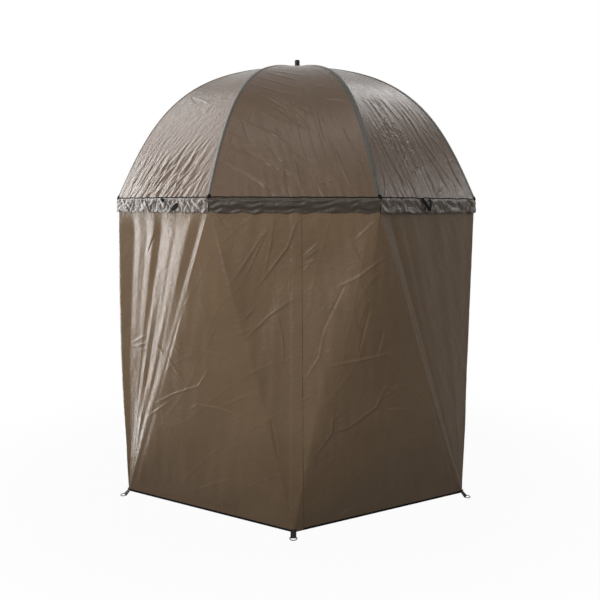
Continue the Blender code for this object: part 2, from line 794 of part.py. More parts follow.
def build_runner():
    """Runner on the upper pole, with its wire, its stretchers and its catch button."""
    bore = POLE_RADIUS + SLIDE_GAP
    slide = pivot("runner_slide", Matrix.Translation((0, 0, RUNNER_Z)))
    wall = bore + RUNNER_WALL
    outline = [(FLANGE_RADIUS, -FLANGE_HALF), (FLANGE_RADIUS, FLANGE_HALF), (bore, FLANGE_HALF)]
    outline += [(bore, -RUNNER_SLEEVE), (wall, -RUNNER_SLEEVE), (wall, -FLANGE_HALF)]
    level = -BUTTON_LEVEL
    half = HOUSING_WIDTH / 2
    housing = box(
        (-half, -HOUSING_OUT, level - HOUSING_HEIGHT / 2),
        (half, -(bore + RUNNER_WALL / 2), level + HOUSING_HEIGHT / 2),
    )
    well = cylinder(
        (0, -HOUSING_OUT - CUT_OVER, level), (0, -wall, level), BUTTON_RADIUS + SLIDE_GAP
    )
    cuts = flange_cuts(0.0, -STRETCHER_SIDE) + [well]
    piece("runner", combined(turned(outline, WIDE_SIDES), (housing,), cuts), moulded_black(), slide)
    piece("runner_wire", pivot_wire_mesh(0.0), bright_steel(), slide)
    press = pivot("button_slide", Matrix.Translation((0, -HOUSING_OUT, RUNNER_Z + level)))
    seat = -BUTTON_TRAVEL - SLIDE_GAP
    shaft = cylinder((0, HOUSING_OUT - BUTTON_IN, 0), (0, seat - SLIDE_GAP, 0), BUTTON_RADIUS)
    head = cylinder((0, seat, 0), (0, HOUSING_OUT - BUTTON_OUT, 0), BUTTON_HEAD)
    piece("runner_button", combined(shaft, (head,)), moulded_black(), press)
    stretcher = stretcher_mesh()
    for k in range(RIBS):
        azimuth = (2 * k + 1) * HALF_GORE
        place = Matrix.Translation(heading(azimuth) * RING_RADIUS + Vector((0, 0, RUNNER_Z)))
        hinge = pivot(f"stretcher_hinge_{k + 1}", place @ turned_to(azimuth))
        piece(f"stretcher_{k + 1}", stretcher, bright_steel(), hinge)


def build_knuckle():
    """Tilt knuckle: a fork under the upper pole, a tongue over the inner pole, a wing bolt."""
    bore = POLE_RADIUS + KNUCKLE_GAP
    low = UPPER_SOCKET_START
    inside = TONGUE_HALF + KNUCKLE_GAP
    outline = [(0, low), (bore + SOCKET_WALL, low), (bore + SOCKET_WALL, low + UPPER_SOCKET_LENGTH)]
    outline += [(bore, low + UPPER_SOCKET_LENGTH), (bore, low + SOCKET_FLOOR)]
    outline += [(0, low + SOCKET_FLOOR)]
    joins = []
    for side in (-1, 1):
        near = side * inside
        far = side * (inside + CHEEK_THICKNESS)
        joins.append(cylinder((near, 0, 0), (far, 0, 0), KNUCKLE_RADIUS, POLE_SIDES))
        joins.append(box(
            (min(near, far) + WEB_INSET, -KNUCKLE_RADIUS * WEB_SHARE, 0),
            (max(near, far) - WEB_INSET, KNUCKLE_RADIUS * WEB_SHARE, low + SOCKET_FLOOR / 2),
        ))
    past = inside + CHEEK_THICKNESS + CUT_OVER
    hole = cylinder((-past, 0, 0), (past, 0, 0), BOLT_RADIUS + KNUCKLE_GAP)
    axis = pivot("tilt_hinge", Matrix.Translation((0, 0, KNUCKLE_HEIGHT)))
    upper = combined(turned(outline), joins, (hole,))
    upper.transform(Matrix.Translation((0, 0, KNUCKLE_HEIGHT)))
    piece("knuckle_fork", upper, moulded_black())
    bore = INNER_RADIUS + KNUCKLE_GAP
    high = -LOWER_SOCKET_START
    mouth = high - LOWER_SOCKET_LENGTH
    outline = [(0, high), (bore + SOCKET_WALL, high), (bore + SOCKET_WALL, mouth)]
    outline += [(bore, mouth), (bore, high - SOCKET_FLOOR), (0, high - SOCKET_FLOOR)]
    tongue = cylinder((-TONGUE_HALF, 0, 0), (TONGUE_HALF, 0, 0), KNUCKLE_RADIUS, POLE_SIDES)
    shank = box(
        (WEB_INSET - TONGUE_HALF, -SHANK_HALF, high - SOCKET_FLOOR / 2),
        (TONGUE_HALF - WEB_INSET, SHANK_HALF, 0),
    )
    hole = cylinder((-past, 0, 0), (past, 0, 0), BOLT_RADIUS + KNUCKLE_GAP)
    lower = combined(turned(outline), (tongue, shank), (hole,))
    piece("knuckle_tongue", lower, moulded_black(), axis)
    socket_end = KNUCKLE_HEIGHT - LOWER_SOCKET_START - SOCKET_FLOOR - KNUCKLE_GAP
    inner = tube(INNER_RADIUS, INNER_RADIUS - POLE_WALL, INNER_BOTTOM, socket_end)
    inner = moved_to(mesh_of(inner), axis.matrix_world)
    piece("inner_pole", inner, pole_alloy(), axis)
    screw = pivot("wing_bolt_turn", axis.matrix_world)
    face = inside + CHEEK_THICKNESS + KNUCKLE_GAP
    end = face + BOLT_HEAD_HEIGHT
    shaft = cylinder((-end + WEB_INSET, 0, 0), (end, 0, 0), BOLT_RADIUS)
    head = cylinder((-end, 0, 0), (-face, 0, 0), BOLT_HEAD)
    collar = cylinder((face, 0, 0), (face + WING_BOSS, 0, 0), BOLT_HEAD)
    wing = box(
        (face + WING_SEAT, -WING_SPAN / 2, -WING_THICKNESS / 2),
        (face + WING_SEAT + WING_HEIGHT, WING_SPAN / 2, WING_THICKNESS / 2),
    )
    piece("wing_bolt", combined(shaft, (head, collar, wing)), moulded_black(), screw)


def build_lower_pole():
    """Lower pole that telescopes over the inner one, its clamp, and the ground spike."""
    slide = pivot("height_slide", Matrix.Translation((0, 0, LOWER_TOP)))
    place = slide.matrix_world
    reach = LOWER_TOP - COLLAR_HEIGHT / 2
    clamp_hole = CLAMP_RADIUS + SLIDE_GAP
    tunnel = cylinder((0, 0, reach), (POLE_RADIUS + CUT_OVER, 0, reach), clamp_hole)
    bore = INNER_RADIUS + SLIDE_GAP
    lower = combined(tube(POLE_RADIUS, bore, LOWER_BOTTOM, LOWER_TOP), (), (tunnel,))
    piece("lower_pole", moved_to(lower, place), pole_alloy(), slide)
    seat = POLE_RADIUS + SLIDE_GAP
    outer = seat + COLLAR_WALL
    lip = LOWER_TOP + SLIDE_GAP
    skirt = LOWER_TOP - COLLAR_HEIGHT
    outline = [(outer, skirt), (outer, lip + COLLAR_LIP), (bore, lip + COLLAR_LIP)]
    outline += [(bore, lip), (seat, lip), (seat, skirt)]
    boss = cylinder((seat + COLLAR_WALL / 2, 0, reach), (CLAMP_BOSS_OUT, 0, reach), CLAMP_BOSS)
    tunnel = cylinder((0, 0, reach), (CLAMP_BOSS_OUT + CUT_OVER, 0, reach), clamp_hole)
    collar = combined(turned(outline), (boss,), (tunnel,))
    piece("clamp_collar", moved_to(collar, place), moulded_black(), slide)
    shoulder = LOWER_BOTTOM - SLIDE_GAP
    shank = bore - SLIDE_GAP
    outline = [(0, 0), (SPIKE_POINT, 0), (POLE_RADIUS, SPIKE_LENGTH), (POLE_RADIUS, shoulder)]
    outline += [(shank, shoulder), (shank, LOWER_BOTTOM + SPIKE_SHANK)]
    outline += [(0, LOWER_BOTTOM + SPIKE_SHANK)]
    piece("ground_spike", moved_to(mesh_of(turned(outline)), place), bright_steel(), slide)
    screw = pivot("clamp_screw_turn", Matrix.Translation((CLAMP_BOSS_OUT, 0, reach)))
    tip = INNER_RADIUS + SLIDE_GAP - CLAMP_BOSS_OUT
    shaft = cylinder((tip, 0, 0), (CLAMP_KNOB_LENGTH / 2, 0, 0), CLAMP_RADIUS)
    knob = cylinder((SLIDE_GAP, 0, 0), (CLAMP_KNOB_LENGTH, 0, 0), CLAMP_KNOB)
    piece("clamp_screw", combined(shaft, (knob,)), moulded_black(), screw)


def build_walls():
    """Two halves of the wrap and the two zipped door flaps, hinged on straight lines."""
    right = wall_mesh()
    piece("wall_right", right, wall_cloth())
    piece("wall_left", mirrored(right), wall_cloth())
    place = door_hinge_place()
    door = door_mesh()
    tape = zip_tape_mesh()
    for name, side in (("right", 1), ("left", -1)):
        foot = wall_point(place, DOOR_BOTTOM_Z)
        foot.x *= side
        hinge = pivot(f"door_hinge_{name}", Matrix.Translation(foot))
        flap, strip = (door, tape) if side > 0 else (mirrored(door), mirrored(tape))
        piece(f"door_{name}", moved_to(flap, hinge.matrix_world), wall_cloth(), hinge)
        strip = moved_to(strip, hinge.matrix_world)
        piece(f"zip_tape_{name}", strip, moulded_black(), hinge)
    low, along, _, _ = zip_line()
    slide = pivot("zip_slide", Matrix.Translation(low + along * SLIDER_START))
    slider = moved_to(zip_slider_mesh(), slide.matrix_world)
    piece("zip_slider", slider, bright_steel(), slide)


def build_peg_loops():
    """Webbing loops with D-rings at the corners of the hem."""
    tab = corner_tab_mesh()
    ring = ring_mesh()
    for k in range(HEM_CORNERS):
        azimuth = 2 * math.pi * k / HEM_CORNERS
        turn = turned_to(azimuth)
        sewn = pivot(f"corner_{k + 1}", Matrix.Translation(heading(azimuth) * HEM_RADIUS) @ turn)
        piece(f"corner_tab_{k + 1}", tab, webbing_weave(), sewn)
        bar = heading(azimuth) * (HEM_RADIUS + LOOP_REACH) + Vector((0, 0, LOOP_RADIUS))
        droop = Matrix.Rotation(ring_droop(), 4, "Y")
        hinge = pivot(f"ring_hinge_{k + 1}", Matrix.Translation(bar) @ turn @ droop)
        piece(f"d_ring_{k + 1}", ring, bright_steel(), hinge)


build_crown()
build_canopy()
build_runner()
build_knuckle()
build_lower_pole()
build_walls()
build_peg_loops()
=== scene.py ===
import math

import bmesh
import bpy
import numpy as np
from mathutils import Matrix, Vector


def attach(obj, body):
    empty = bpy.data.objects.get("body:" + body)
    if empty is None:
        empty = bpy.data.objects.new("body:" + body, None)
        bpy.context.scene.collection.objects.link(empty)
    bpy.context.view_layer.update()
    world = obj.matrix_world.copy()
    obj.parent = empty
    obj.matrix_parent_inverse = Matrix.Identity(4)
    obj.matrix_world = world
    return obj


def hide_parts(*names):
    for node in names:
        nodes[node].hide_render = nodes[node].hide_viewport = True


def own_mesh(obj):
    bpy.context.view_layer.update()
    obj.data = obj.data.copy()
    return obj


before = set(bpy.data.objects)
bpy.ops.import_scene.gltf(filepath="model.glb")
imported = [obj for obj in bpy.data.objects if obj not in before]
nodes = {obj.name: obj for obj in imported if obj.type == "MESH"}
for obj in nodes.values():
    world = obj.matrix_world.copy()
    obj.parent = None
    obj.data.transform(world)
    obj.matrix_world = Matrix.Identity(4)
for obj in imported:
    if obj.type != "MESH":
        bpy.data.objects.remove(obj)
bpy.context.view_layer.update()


# Poles
# The centre pole is drawn alloy tube, anodised a dull silver, in an upper, an inner and a lower
# length. The drawing leaves faint lines along the tube. A turned steel point closes the foot.
def finish(name, roughness, metallic=0.0, gloss=0.5):
    """A new material, with one plain roughness until nodes drive it, and how much it mirrors."""
    made = bpy.data.materials.new(name)
    made.use_nodes = True
    shader = made.node_tree.nodes["Principled BSDF"]
    shader.inputs["Roughness"].default_value = roughness
    shader.inputs["Metallic"].default_value = metallic
    shader.inputs["Specular IOR Level"].default_value = gloss
    return made


def add(made, kind, inputs=(), **settings):
    """A node in a material or the world, with its settings, and with values or other outputs."""
    node = made.node_tree.nodes.new("ShaderNode" + kind)
    for key, value in settings.items():
        setattr(node, key, value)
    for socket, value in dict(inputs).items():
        if isinstance(value, bpy.types.NodeSocket):
            made.node_tree.links.new(value, node.inputs[socket])
        else:
            node.inputs[socket].default_value = value
    return node


def place_on_tent(made, stretch=(1, 1, 1)):
    """Places in metres on the standing tent, stretched for a pattern with a grain."""
    place = add(made, "TexCoord").outputs["Object"]
    return add(made, "Mapping", {"Vector": place, "Scale": stretch}).outputs[0]


def mottle(made, places, size, low, high, detail=3.0, bend=0.0):
    """Soft random patches of a size in metres, as values between low and high."""
    noise = add(made, "TexNoise", {
        "Vector": places, "Scale": 1 / size, "Detail": detail, "Distortion": bend,
    }).outputs["Fac"]
    return add(made, "MapRange", {
        "Value": noise, "From Min": 0.3, "From Max": 0.7, "To Min": low, "To Max": high,
    }).outputs["Result"]


def drive(made, socket, value):
    """Lets a value drive one socket of the shader."""
    made.node_tree.links.new(value, made.node_tree.nodes["Principled BSDF"].inputs[socket])


def dye(made, share, dark, light):
    """The colour between two tones. Sockets 6, 7 and 2 are the mixer's two colours and their mix."""
    tone = add(made, "Mix", {"Factor": share, 6: (*dark, 1), 7: (*light, 1)}, data_type="RGBA")
    drive(made, "Base Color", tone.outputs[2])


def polish(made, roughness):
    """Lets a value drive how matt the surface is."""
    drive(made, "Roughness", roughness)


def relief(made, *layers):
    """Bumps from pairs of a height value and its depth in metres, the coarsest first."""
    under = {}
    for height, depth in layers:
        bump = add(made, "Bump", {"Height": height, "Distance": depth, **under})
        under = {"Normal": bump.outputs["Normal"]}
    drive(made, "Normal", under["Normal"])


def clad(made, *names):
    """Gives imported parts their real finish."""
    for name in names:
        for slot in nodes[name].material_slots:
            slot.material = made


def patchy_finish(name, matt, tones, shine, bumps, metallic=0.0, gloss=0.5, stretch=(1, 1, 1)):
    """A finish in soft patches, each kind with its size in metres.

    tones adds the dark and the light colour, shine the least and the most matt, and each of the bumps
    its depth. A last number in tones or in a bump says how fine its detail is.
    """
    made = finish(name, matt, metallic, gloss)
    places = place_on_tent(made, stretch)
    size, dark, light, *detail = tones
    dye(made, mottle(made, places, size, 0, 1, *detail), dark, light)
    polish(made, mottle(made, places, *shine))
    relief(made, *[(mottle(made, places, wide, 0, 1, *fine), depth) for wide, depth, *fine in bumps])
    return made


drawn_alloy = patchy_finish(
    "drawn_alloy", 0.3, (0.002, (0.42, 0.42, 0.43), (0.60, 0.60, 0.61)), (0.0012, 0.24, 0.42),
    [(0.0012, 0.00004)], metallic=1.0, stretch=(1, 1, 0.02),
)
clad(drawn_alloy, "top_pole", "inner_pole", "lower_pole")

turned_steel = patchy_finish(
    "turned_steel", 0.25, (0.02, (0.36, 0.35, 0.34), (0.58, 0.57, 0.56)), (0.01, 0.2, 0.4),
    [(0.01, 0.00005)], metallic=1.0, stretch=(1, 1, 40),
)
clad(turned_steel, "ground_spike")


# Knuckle, clamps, crown and runner
# These are injection-moulded black nylon, with the fine leathery grain of a spark-eroded mould and
# slightly paler, smoother rubbed areas. The cap on top screws down on the cloth.
moulded_nylon = patchy_finish(
    "moulded_nylon", 0.45, (0.012, (0.005, 0.005, 0.006), (0.014, 0.014, 0.016)), (0.006, 0.36, 0.55),
    [(0.004, 0.0001, 2), (0.0006, 0.00006, 2)], gloss=0.14,
)
clad(
    moulded_nylon, "crown_hub", "top_cap", "runner", "runner_button", "knuckle_fork",
    "knuckle_tongue", "wing_bolt", "clamp_collar", "clamp_screw",
)


# Ribs and stretchers
# Each rib is a pultruded black glassfibre rod, glossy, with a faint mottle. The stretchers,
# pivot wires and the slider of the zip are zinc-plated steel, a little blue and cloudy.
RIBS = 8
glassfibre = patchy_finish(
    "pultruded_glassfibre", 0.3, (0.004, (0.010, 0.010, 0.010), (0.035, 0.034, 0.032), 6),
    (0.01, 0.22, 0.4), [(0.0008, 0.00003, 2)],
)
clad(glassfibre, *[f"rib_{k + 1}" for k in range(RIBS)])

plated_steel = patchy_finish(
    "plated_steel", 0.3, (0.015, (0.42, 0.43, 0.44), (0.62, 0.63, 0.65)), (0.005, 0.22, 0.42),
    [(0.0015, 0.00004)], metallic=1.0,
)
clad(
    plated_steel, "crown_wire", "runner_wire", "zip_slider",
    *[f"stretcher_{k + 1}" for k in range(RIBS)],
)


# Canopy gores
# Eight gores of polyester taffeta, coated so that it sheds rain and shines like oiled silk. They are
# stretched over the ribs, flat from rib to rib, and pull into slanting creases above the brim. The
# three that the photograph shows carry its creases, on a finer mesh.
RIGHT_GORE, LEFT_GORE, FRONT_GORE = 0, 6, 7
UP = np.array([0, 0, 1.0])
HALF_GORE = math.pi / RIBS
BRIM_RADIUS = 0.930
BRIM_Z = 1.440
APEX_Z = 2.115
CROWN_HOLE = 0.0125
CROWN_SLOPE, CROWN_HANDLE = math.radians(3.0), 0.609
BRIM_SLOPE, BRIM_HANDLE = math.radians(65.6), 0.430
GORE_ROWS, GORE_COLUMNS = 280, 150
FINE_ROWS, FINE_COLUMNS = 410, 236
GORE_SAG = 0.006
CUT_STEP = 0.0002
WEAVE_SCALE = 260.0


def heading(azimuth):
    """The level direction at an azimuth from the front, towards +X."""
    azimuth = np.asarray(azimuth, float)
    return np.stack([np.sin(azimuth), -np.cos(azimuth), np.zeros_like(azimuth)], axis=-1)


def gore_ways(k):
    """The level way out through the middle of gore k, and the way across it."""
    azimuth = 2 * (k + 1) * HALF_GORE
    return heading(azimuth), heading(azimuth + math.pi / 2)


def dome_line(t):
    """Radius and height of the cloth above a rib, for t from 0 at the crown to 1 at the brim."""
    s = 1 - t
    first = CROWN_HANDLE * np.array([math.cos(CROWN_SLOPE), -math.sin(CROWN_SLOPE)])
    last = BRIM_HANDLE * np.array([-math.cos(BRIM_SLOPE), math.sin(BRIM_SLOPE)])
    knots = np.array([[0, APEX_Z], [0, APEX_Z], [BRIM_RADIUS, BRIM_Z], [BRIM_RADIUS, BRIM_Z]])
    knots[1] += first
    knots[2] += last
    weights = np.stack([s**3, 3 * s * s * t, 3 * s * t * t, t**3], axis=-1)
    return weights @ knots


def waves(x, y, toward, spread, spacing, seed, count=14):
    """Random wrinkles, about 1 high, that run across one direction in degrees."""
    draw = np.random.default_rng(seed)
    total = np.zeros_like(x)
    for _ in range(count):
        turn = math.radians(toward + spread * draw.normal())
        length = spacing * draw.uniform(0.65, 1.7)
        phase = draw.uniform(0, 2 * math.pi)
        total += np.sin(2 * math.pi * (x * math.cos(turn) + y * math.sin(turn)) / length + phase)
    return total / math.sqrt(count / 2)


def crests(field, width=0.3):
    """Narrow raised lines where a field of wrinkles passes through nothing."""
    return np.exp(-(field / width) ** 2)


def ramp(value, low, high):
    """0 below low, 1 above high, and a smooth rise between."""
    share = np.clip((value - low) / (high - low), 0, 1)
    return share * share * (3 - 2 * share)


def creased(x, y, creases, width=0.0045):
    """Height of creases, each its height and then its places, all in millimetres."""
    height = np.zeros_like(x)
    for tall, *places in creases:
        line = np.array(places) / 1000
        ways = np.diff(line, axis=0)
        legs = np.linalg.norm(ways, axis=1)
        total, passed = legs.sum(), 0.0
        nearest = np.full_like(x, 9.0)
        along = np.zeros_like(x)
        side = np.zeros_like(x)
        for start, leg, way in zip(line, legs, ways):
            a, b = x - start[0], y - start[1]
            share = np.clip((a * way[0] + b * way[1]) / leg**2, 0, 1)
            gap = np.hypot(a - share * way[0], b - share * way[1])
            closer = gap < nearest
            along = np.where(closer, (passed + share * leg) / total, along)
            side = np.where(closer, np.sign(a * way[1] - b * way[0]), side)
            nearest = np.minimum(nearest, gap)
            passed += leg
        ends = np.sin(math.pi * (0.03 + 0.94 * along)) ** 0.7
        fold = np.exp(-(nearest / width) ** 2)
        fold += 0.35 * side * (nearest / width) * np.exp(-nearest / (2.2 * width))
        height += tall / 1000 * fold * ends
    return height


def stand(name, data):
    """A new object in the scene."""
    made = bpy.data.objects.new(name, data)
    bpy.context.scene.collection.objects.link(made)
    return made


def cloth_mesh(name, points, made, keep=None):
    """A sheet from rows of points. Cells that keep leaves out are holes in it."""
    rows, columns = points.shape[:2]
    index = np.arange(rows * columns).reshape(rows, columns)
    cells = np.stack([index[:-1, :-1], index[1:, :-1], index[1:, 1:], index[:-1, 1:]], axis=-1)
    cells = cells.reshape(-1, 4)
    cells = cells if keep is None else cells[keep]
    used, faces = np.unique(cells, return_inverse=True)
    faces = faces.reshape(-1, 4)
    places = points.reshape(-1, 3)[used]
    mesh = bpy.data.meshes.new(name)
    mesh.vertices.add(len(places))
    mesh.vertices.foreach_set("co", places.astype(np.float32).ravel())
    mesh.loops.add(faces.size)
    mesh.loops.foreach_set("vertex_index", faces.astype(np.int32).ravel())
    mesh.polygons.add(len(faces))
    mesh.polygons.foreach_set("loop_start", np.arange(0, faces.size, 4, dtype=np.int32))
    mesh.update(calc_edges=True)
    mesh.materials.append(made)
    mesh.shade_smooth()
    return stand(name, mesh)


def taffeta(name, dark, light, gloss, matt, crinkle=1.0, painted_shade_height=0.0):
    """Coated taffeta: close weave, soft crinkles, an even shine, and painted shade that darkens it
    below a height.
    """
    made = finish(name, matt, gloss=gloss)
    places = place_on_tent(made)
    cloudy = mottle(made, places, 0.16, 0, 1, 5, 0.4)
    threads = mottle(made, places, 0.0022, 0, 1, 1)
    share = add(made, "MapRange", {
        "Value": add(made, "Math", {0: cloudy, 1: threads}, operation="ADD").outputs[0],
        "From Max": 2.0,
    }).outputs["Result"]
    # Painted shade: below the given height the colour darkens towards the ground.
    if painted_shade_height:
        height = add(made, "SeparateXYZ", {0: places}).outputs["Z"]
        above_shade = add(made, "MapRange", {"Value": height, "From Max": painted_shade_height, "To Max": 0.6})
        share = add(made, "Math", {0: share, 1: 0.4, 2: above_shade.outputs[0]}, operation="MULTIPLY_ADD")
        share = share.outputs[0]
    dye(made, share, dark, light)
    polish(made, mottle(made, places, 0.05, matt - 0.04, matt + 0.05, 4))
    warp = add(made, "TexWave", {"Vector": places, "Scale": WEAVE_SCALE}, bands_direction="X")
    weft = add(made, "TexWave", {"Vector": places, "Scale": WEAVE_SCALE}, bands_direction="Z")
    weave = add(made, "Math", {0: warp.outputs["Fac"], 1: weft.outputs["Fac"]}, operation="ADD")
    relief(
        made,
        (mottle(made, places, 0.035, 0, 1, 3, 0.8), 0.0011 * crinkle),
        (mottle(made, places, 0.012, 0, 1, 2, 0.5), 0.0003 * crinkle),
        (weave.outputs[0], 0.00003),
    )
    return made


def sew_to_rib(piece, k, folds=True):
    """Lets a canopy piece ride on rib k, with a mesh of its own unless folds is off."""
    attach(piece, f"rib_{k + 1}")
    if folds:
        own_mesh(piece)


canopy_taffeta = taffeta(
    "canopy_taffeta", (0.098, 0.065, 0.043), (0.114, 0.077, 0.052), 0.13, 0.29, crinkle=0.35
)

gore_start = 0.0
while dome_line(np.array(gore_start))[0] < CROWN_HOLE / math.cos(HALF_GORE):
    gore_start += CUT_STEP


def rib_course(count):
    """Down a rib: radius and height, distance from the crown, slope, and the way out of the cloth."""
    line = dome_line(np.linspace(gore_start, 1, count))
    arc = np.concatenate([[0], np.cumsum(np.linalg.norm(np.diff(line, axis=0), axis=1))])
    slope = np.gradient(line, arc, axis=0)
    lean = np.stack([-slope[:, 1], slope[:, 0]], axis=-1)
    lean /= np.linalg.norm(lean, axis=1)[:, None]
    return line, arc, slope, lean


# Creases: height, and then places on the gore, across from its middle and down from the crown, in mm
FRONT_GORE_CREASES = (
    (-2.6, (-209, 636), (-127, 672), (-30, 733), (38, 779), (65, 802)),
    (2.4, (-200, 668), (-118, 706), (-29, 775), (33, 840), (72, 896), (84, 910)),
    (-1.6, (-188, 702), (-108, 746), (-28, 825), (28, 875), (65, 896)),
    (1.8, (-245, 788), (-223, 869), (-208, 923), (-195, 963)), (1.2, (-179, 779), (-201, 869)),
    (2.0, (-85, 1023), (-49, 1057), (-46, 1130)), (1.6, (-24, 1183), (-2, 1236)),
    (2.2, (-14, 1020), (7, 1075), (14, 1124), (24, 1183)), (1.4, (-101, 910), (-66, 943)),
    (1.4, (-83, 896), (-54, 923)), (1.2, (-127, 963), (-101, 1001)),
    (1.2, (-200, 1136), (-194, 1195)), (1.4, (-257, 897), (-280, 1002), (-304, 1101), (-321, 1195)),
    (1.5, (84, 692), (97, 779), (115, 896), (137, 988)), (1.6, (120, 662), (144, 779), (171, 868)),
    (2.0, (159, 962), (180, 1026), (196, 1075), (221, 1141), (259, 1211)),
    (1.8, (204, 868), (224, 930), (251, 988), (282, 1087), (302, 1147)),
    (1.5, (50, 1045), (72, 1106), (88, 1159), (98, 1206)),
    (1.4, (128, 710), (195, 720), (246, 729)), (1.6, (84, 606), (147, 629), (220, 652)),
    (-2.0, (273, 976), (281, 1050), (302, 1123), (323, 1182), (342, 1226)),
    (1.6, (300, 962), (325, 1087), (345, 1200)), (0.8, (88, 1165), (194, 1141)),
)
FRONT_GORE_FOLDS = (
    (4.5, (-205, 640), (-120, 682), (-32, 745), (36, 806), (70, 850)),
    (3.0, (-190, 720), (-150, 800), (-128, 900)), (2.6, (60, 660), (110, 780), (130, 900)),
)
RIGHT_GORE_CREASES = (
    (2.0, (-168, 855), (-217, 922), (-207, 1000), (-195, 1062), (-168, 1135), (-147, 1202)),
    (1.6, (-100, 834), (-139, 909), (-142, 962)), (1.4, (-98, 804), (-158, 883)),
    (1.6, (91, 828), (90, 889), (128, 985), (164, 1064), (207, 1135), (250, 1194)),
    (1.6, (145, 823), (179, 889), (223, 964), (254, 1033)),
    (1.6, (-108, 934), (-129, 988), (-135, 1034)), (1.5, (-42, 901), (-65, 971)),
    (1.5, (18, 881), (-9, 939)), (2.2, (-46, 1054), (-10, 1075), (-57, 1093), (-39, 1112)),
    (1.8, (-107, 1013), (-85, 1024), (-115, 1046)),
    (2.2, (-286, 1127), (-302, 1181), (-325, 1228)), (1.8, (53, 1217), (78, 1188), (113, 1178)),
    (2.4, (242, 949), (241, 1019), (251, 1094), (271, 1154), (306, 1226)),
    (1.5, (88, 953), (104, 1027), (128, 1092), (159, 1169)),
    (1.6, (-129, 1109), (-107, 1177), (-96, 1232)),
    (1.3, (-231, 833), (-271, 960), (-283, 1085), (-296, 1205)),
)
LEFT_GORE_CREASES = (
    (0.9, (-167, 623), (-56, 665), (73, 723)), (-0.7, (-167, 623), (-110, 666), (-48, 695)),
    (1.4, (20, 746), (92, 760)), (1.2, (40, 766), (86, 775)),
    (2.2, (169, 953), (145, 991), (140, 1048), (99, 1110), (93, 1172), (73, 1227)),
    (2.4, (83, 1014), (46, 1050), (-18, 1112), (-52, 1162), (-120, 1225)),
    (2.0, (22, 1010), (-18, 1060), (-66, 1136), (-97, 1174)),
    (1.6, (-234, 916), (-235, 994), (-226, 1078), (-221, 1105)),
    (1.8, (-257, 1063), (-269, 1117), (-263, 1204)), (2.0, (-159, 1047), (-177, 1107), (-230, 1205)),
    (2.4, (194, 1045), (185, 1095), (157, 1150), (147, 1204)), (2.0, (266, 1182), (241, 1223)),
)


def gore_creases(k, x, y, u, down):
    """How far the cloth of gore k stands off the flat, in metres."""
    flank = (1 - u * u) ** 0.7
    arc = -y
    if k == FRONT_GORE:
        long_pulls = crests(waves(x, y, 60, 7, 0.15, 71), 0.2) * ramp(-u, -0.4, 0.4)
        steep_pulls = crests(waves(x, y, 19, 6, 0.10, 72), 0.2) * ramp(u, -0.6, 0.2)
        low_pulls = waves(x, y, 14, 8, 0.05, 73) * ramp(down, 0.7, 0.98)
        rise = (long_pulls * 0.0026 + steep_pulls * 0.0018 + low_pulls * 0.0010) * ramp(down, 0.2, 0.45)
        rise += creased(x, arc, FRONT_GORE_CREASES, 0.0040) * 1.8
        rise += creased(x, arc, FRONT_GORE_FOLDS, 0.015)
    elif k == LEFT_GORE:
        slant = waves(x, y, 150, 10, 0.034, 61, 22)
        folds = crests(waves(x, y, 150, 9, 0.055, 64), 0.35)
        steep = waves(x, y, 168, 7, 0.044, 62)
        rise = slant * 0.00040 * ramp(down, 0.55, 0.95) + folds * 0.0018 * ramp(down, 0.62, 0.97)
        rise += steep * 0.0008 * ramp(down, 0.72, 0.97)
        rise += creased(x, arc, LEFT_GORE_CREASES, 0.0048)
    elif k == RIGHT_GORE:
        fan = waves(x, y, 8, 5, 0.045, 11)
        bits = crests(waves(x, y, 40, 40, 0.05, 12), 0.25) * ramp(waves(x, y, 90, 50, 0.5, 13), 0, 0.6)
        rise = fan * 0.0005 * ramp(down, 0.5, 0.62)
        rise += crests(waves(x, y, 14, 8, 0.12, 14), 0.2) * 0.0012 * ramp(down, 0.5, 0.62)
        rise += bits * 0.0020 * ramp(down, 0.52, 0.6) * (1 - ramp(down, 0.75, 0.95))
        rise += creased(x, arc, RIGHT_GORE_CREASES, 0.0036) * 1.6
    else:
        lean = 32 if k % 2 else 148
        rise = waves(x, y, lean, 10, 0.06, 100 + k) * 0.0008 * ramp(down, 0.45, 0.95)
        rise += crests(waves(x, y, 180 - lean, 12, 0.15, 200 + k), 0.2) * 0.0018 * ramp(down, 0.25, 0.6)
        rise += crests(waves(x, y, lean, 12, 0.12, 600 + k), 0.25) * 0.0022 * ramp(down, 0.6, 0.95)
    sag = -GORE_SAG * np.sin(math.pi * np.clip(down, 0, 1)) * (1 - u * u)
    return rise * flank + sag


for k in range(RIBS):
    toward, across = gore_ways(k)
    seen = k in (RIGHT_GORE, LEFT_GORE, FRONT_GORE)
    line, arc, _, lean = rib_course(FINE_ROWS if seen else GORE_ROWS)
    radius, height = line[:, 0:1], line[:, 1:2]
    u = np.linspace(-1, 1, FINE_COLUMNS if seen else GORE_COLUMNS)[None, :]
    x = radius * math.sin(HALF_GORE) * u
    y = np.broadcast_to(-arc[:, None], x.shape)
    down = np.broadcast_to(arc[:, None] / arc[-1], x.shape)
    off = gore_creases(k, x, y, np.broadcast_to(u, x.shape), down)
    flat = radius[..., None] * math.cos(HALF_GORE) * toward + x[..., None] * across
    flat = flat + height[..., None] * UP
    outward = lean[:, None, 0:1] * toward + lean[:, None, 1:2] * UP
    gore = cloth_mesh(f"gore_{k + 1}", flat + off[..., None] * outward, canopy_taffeta)
    sew_to_rib(gore, k)
    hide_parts(f"canopy_panel_{k + 1}")
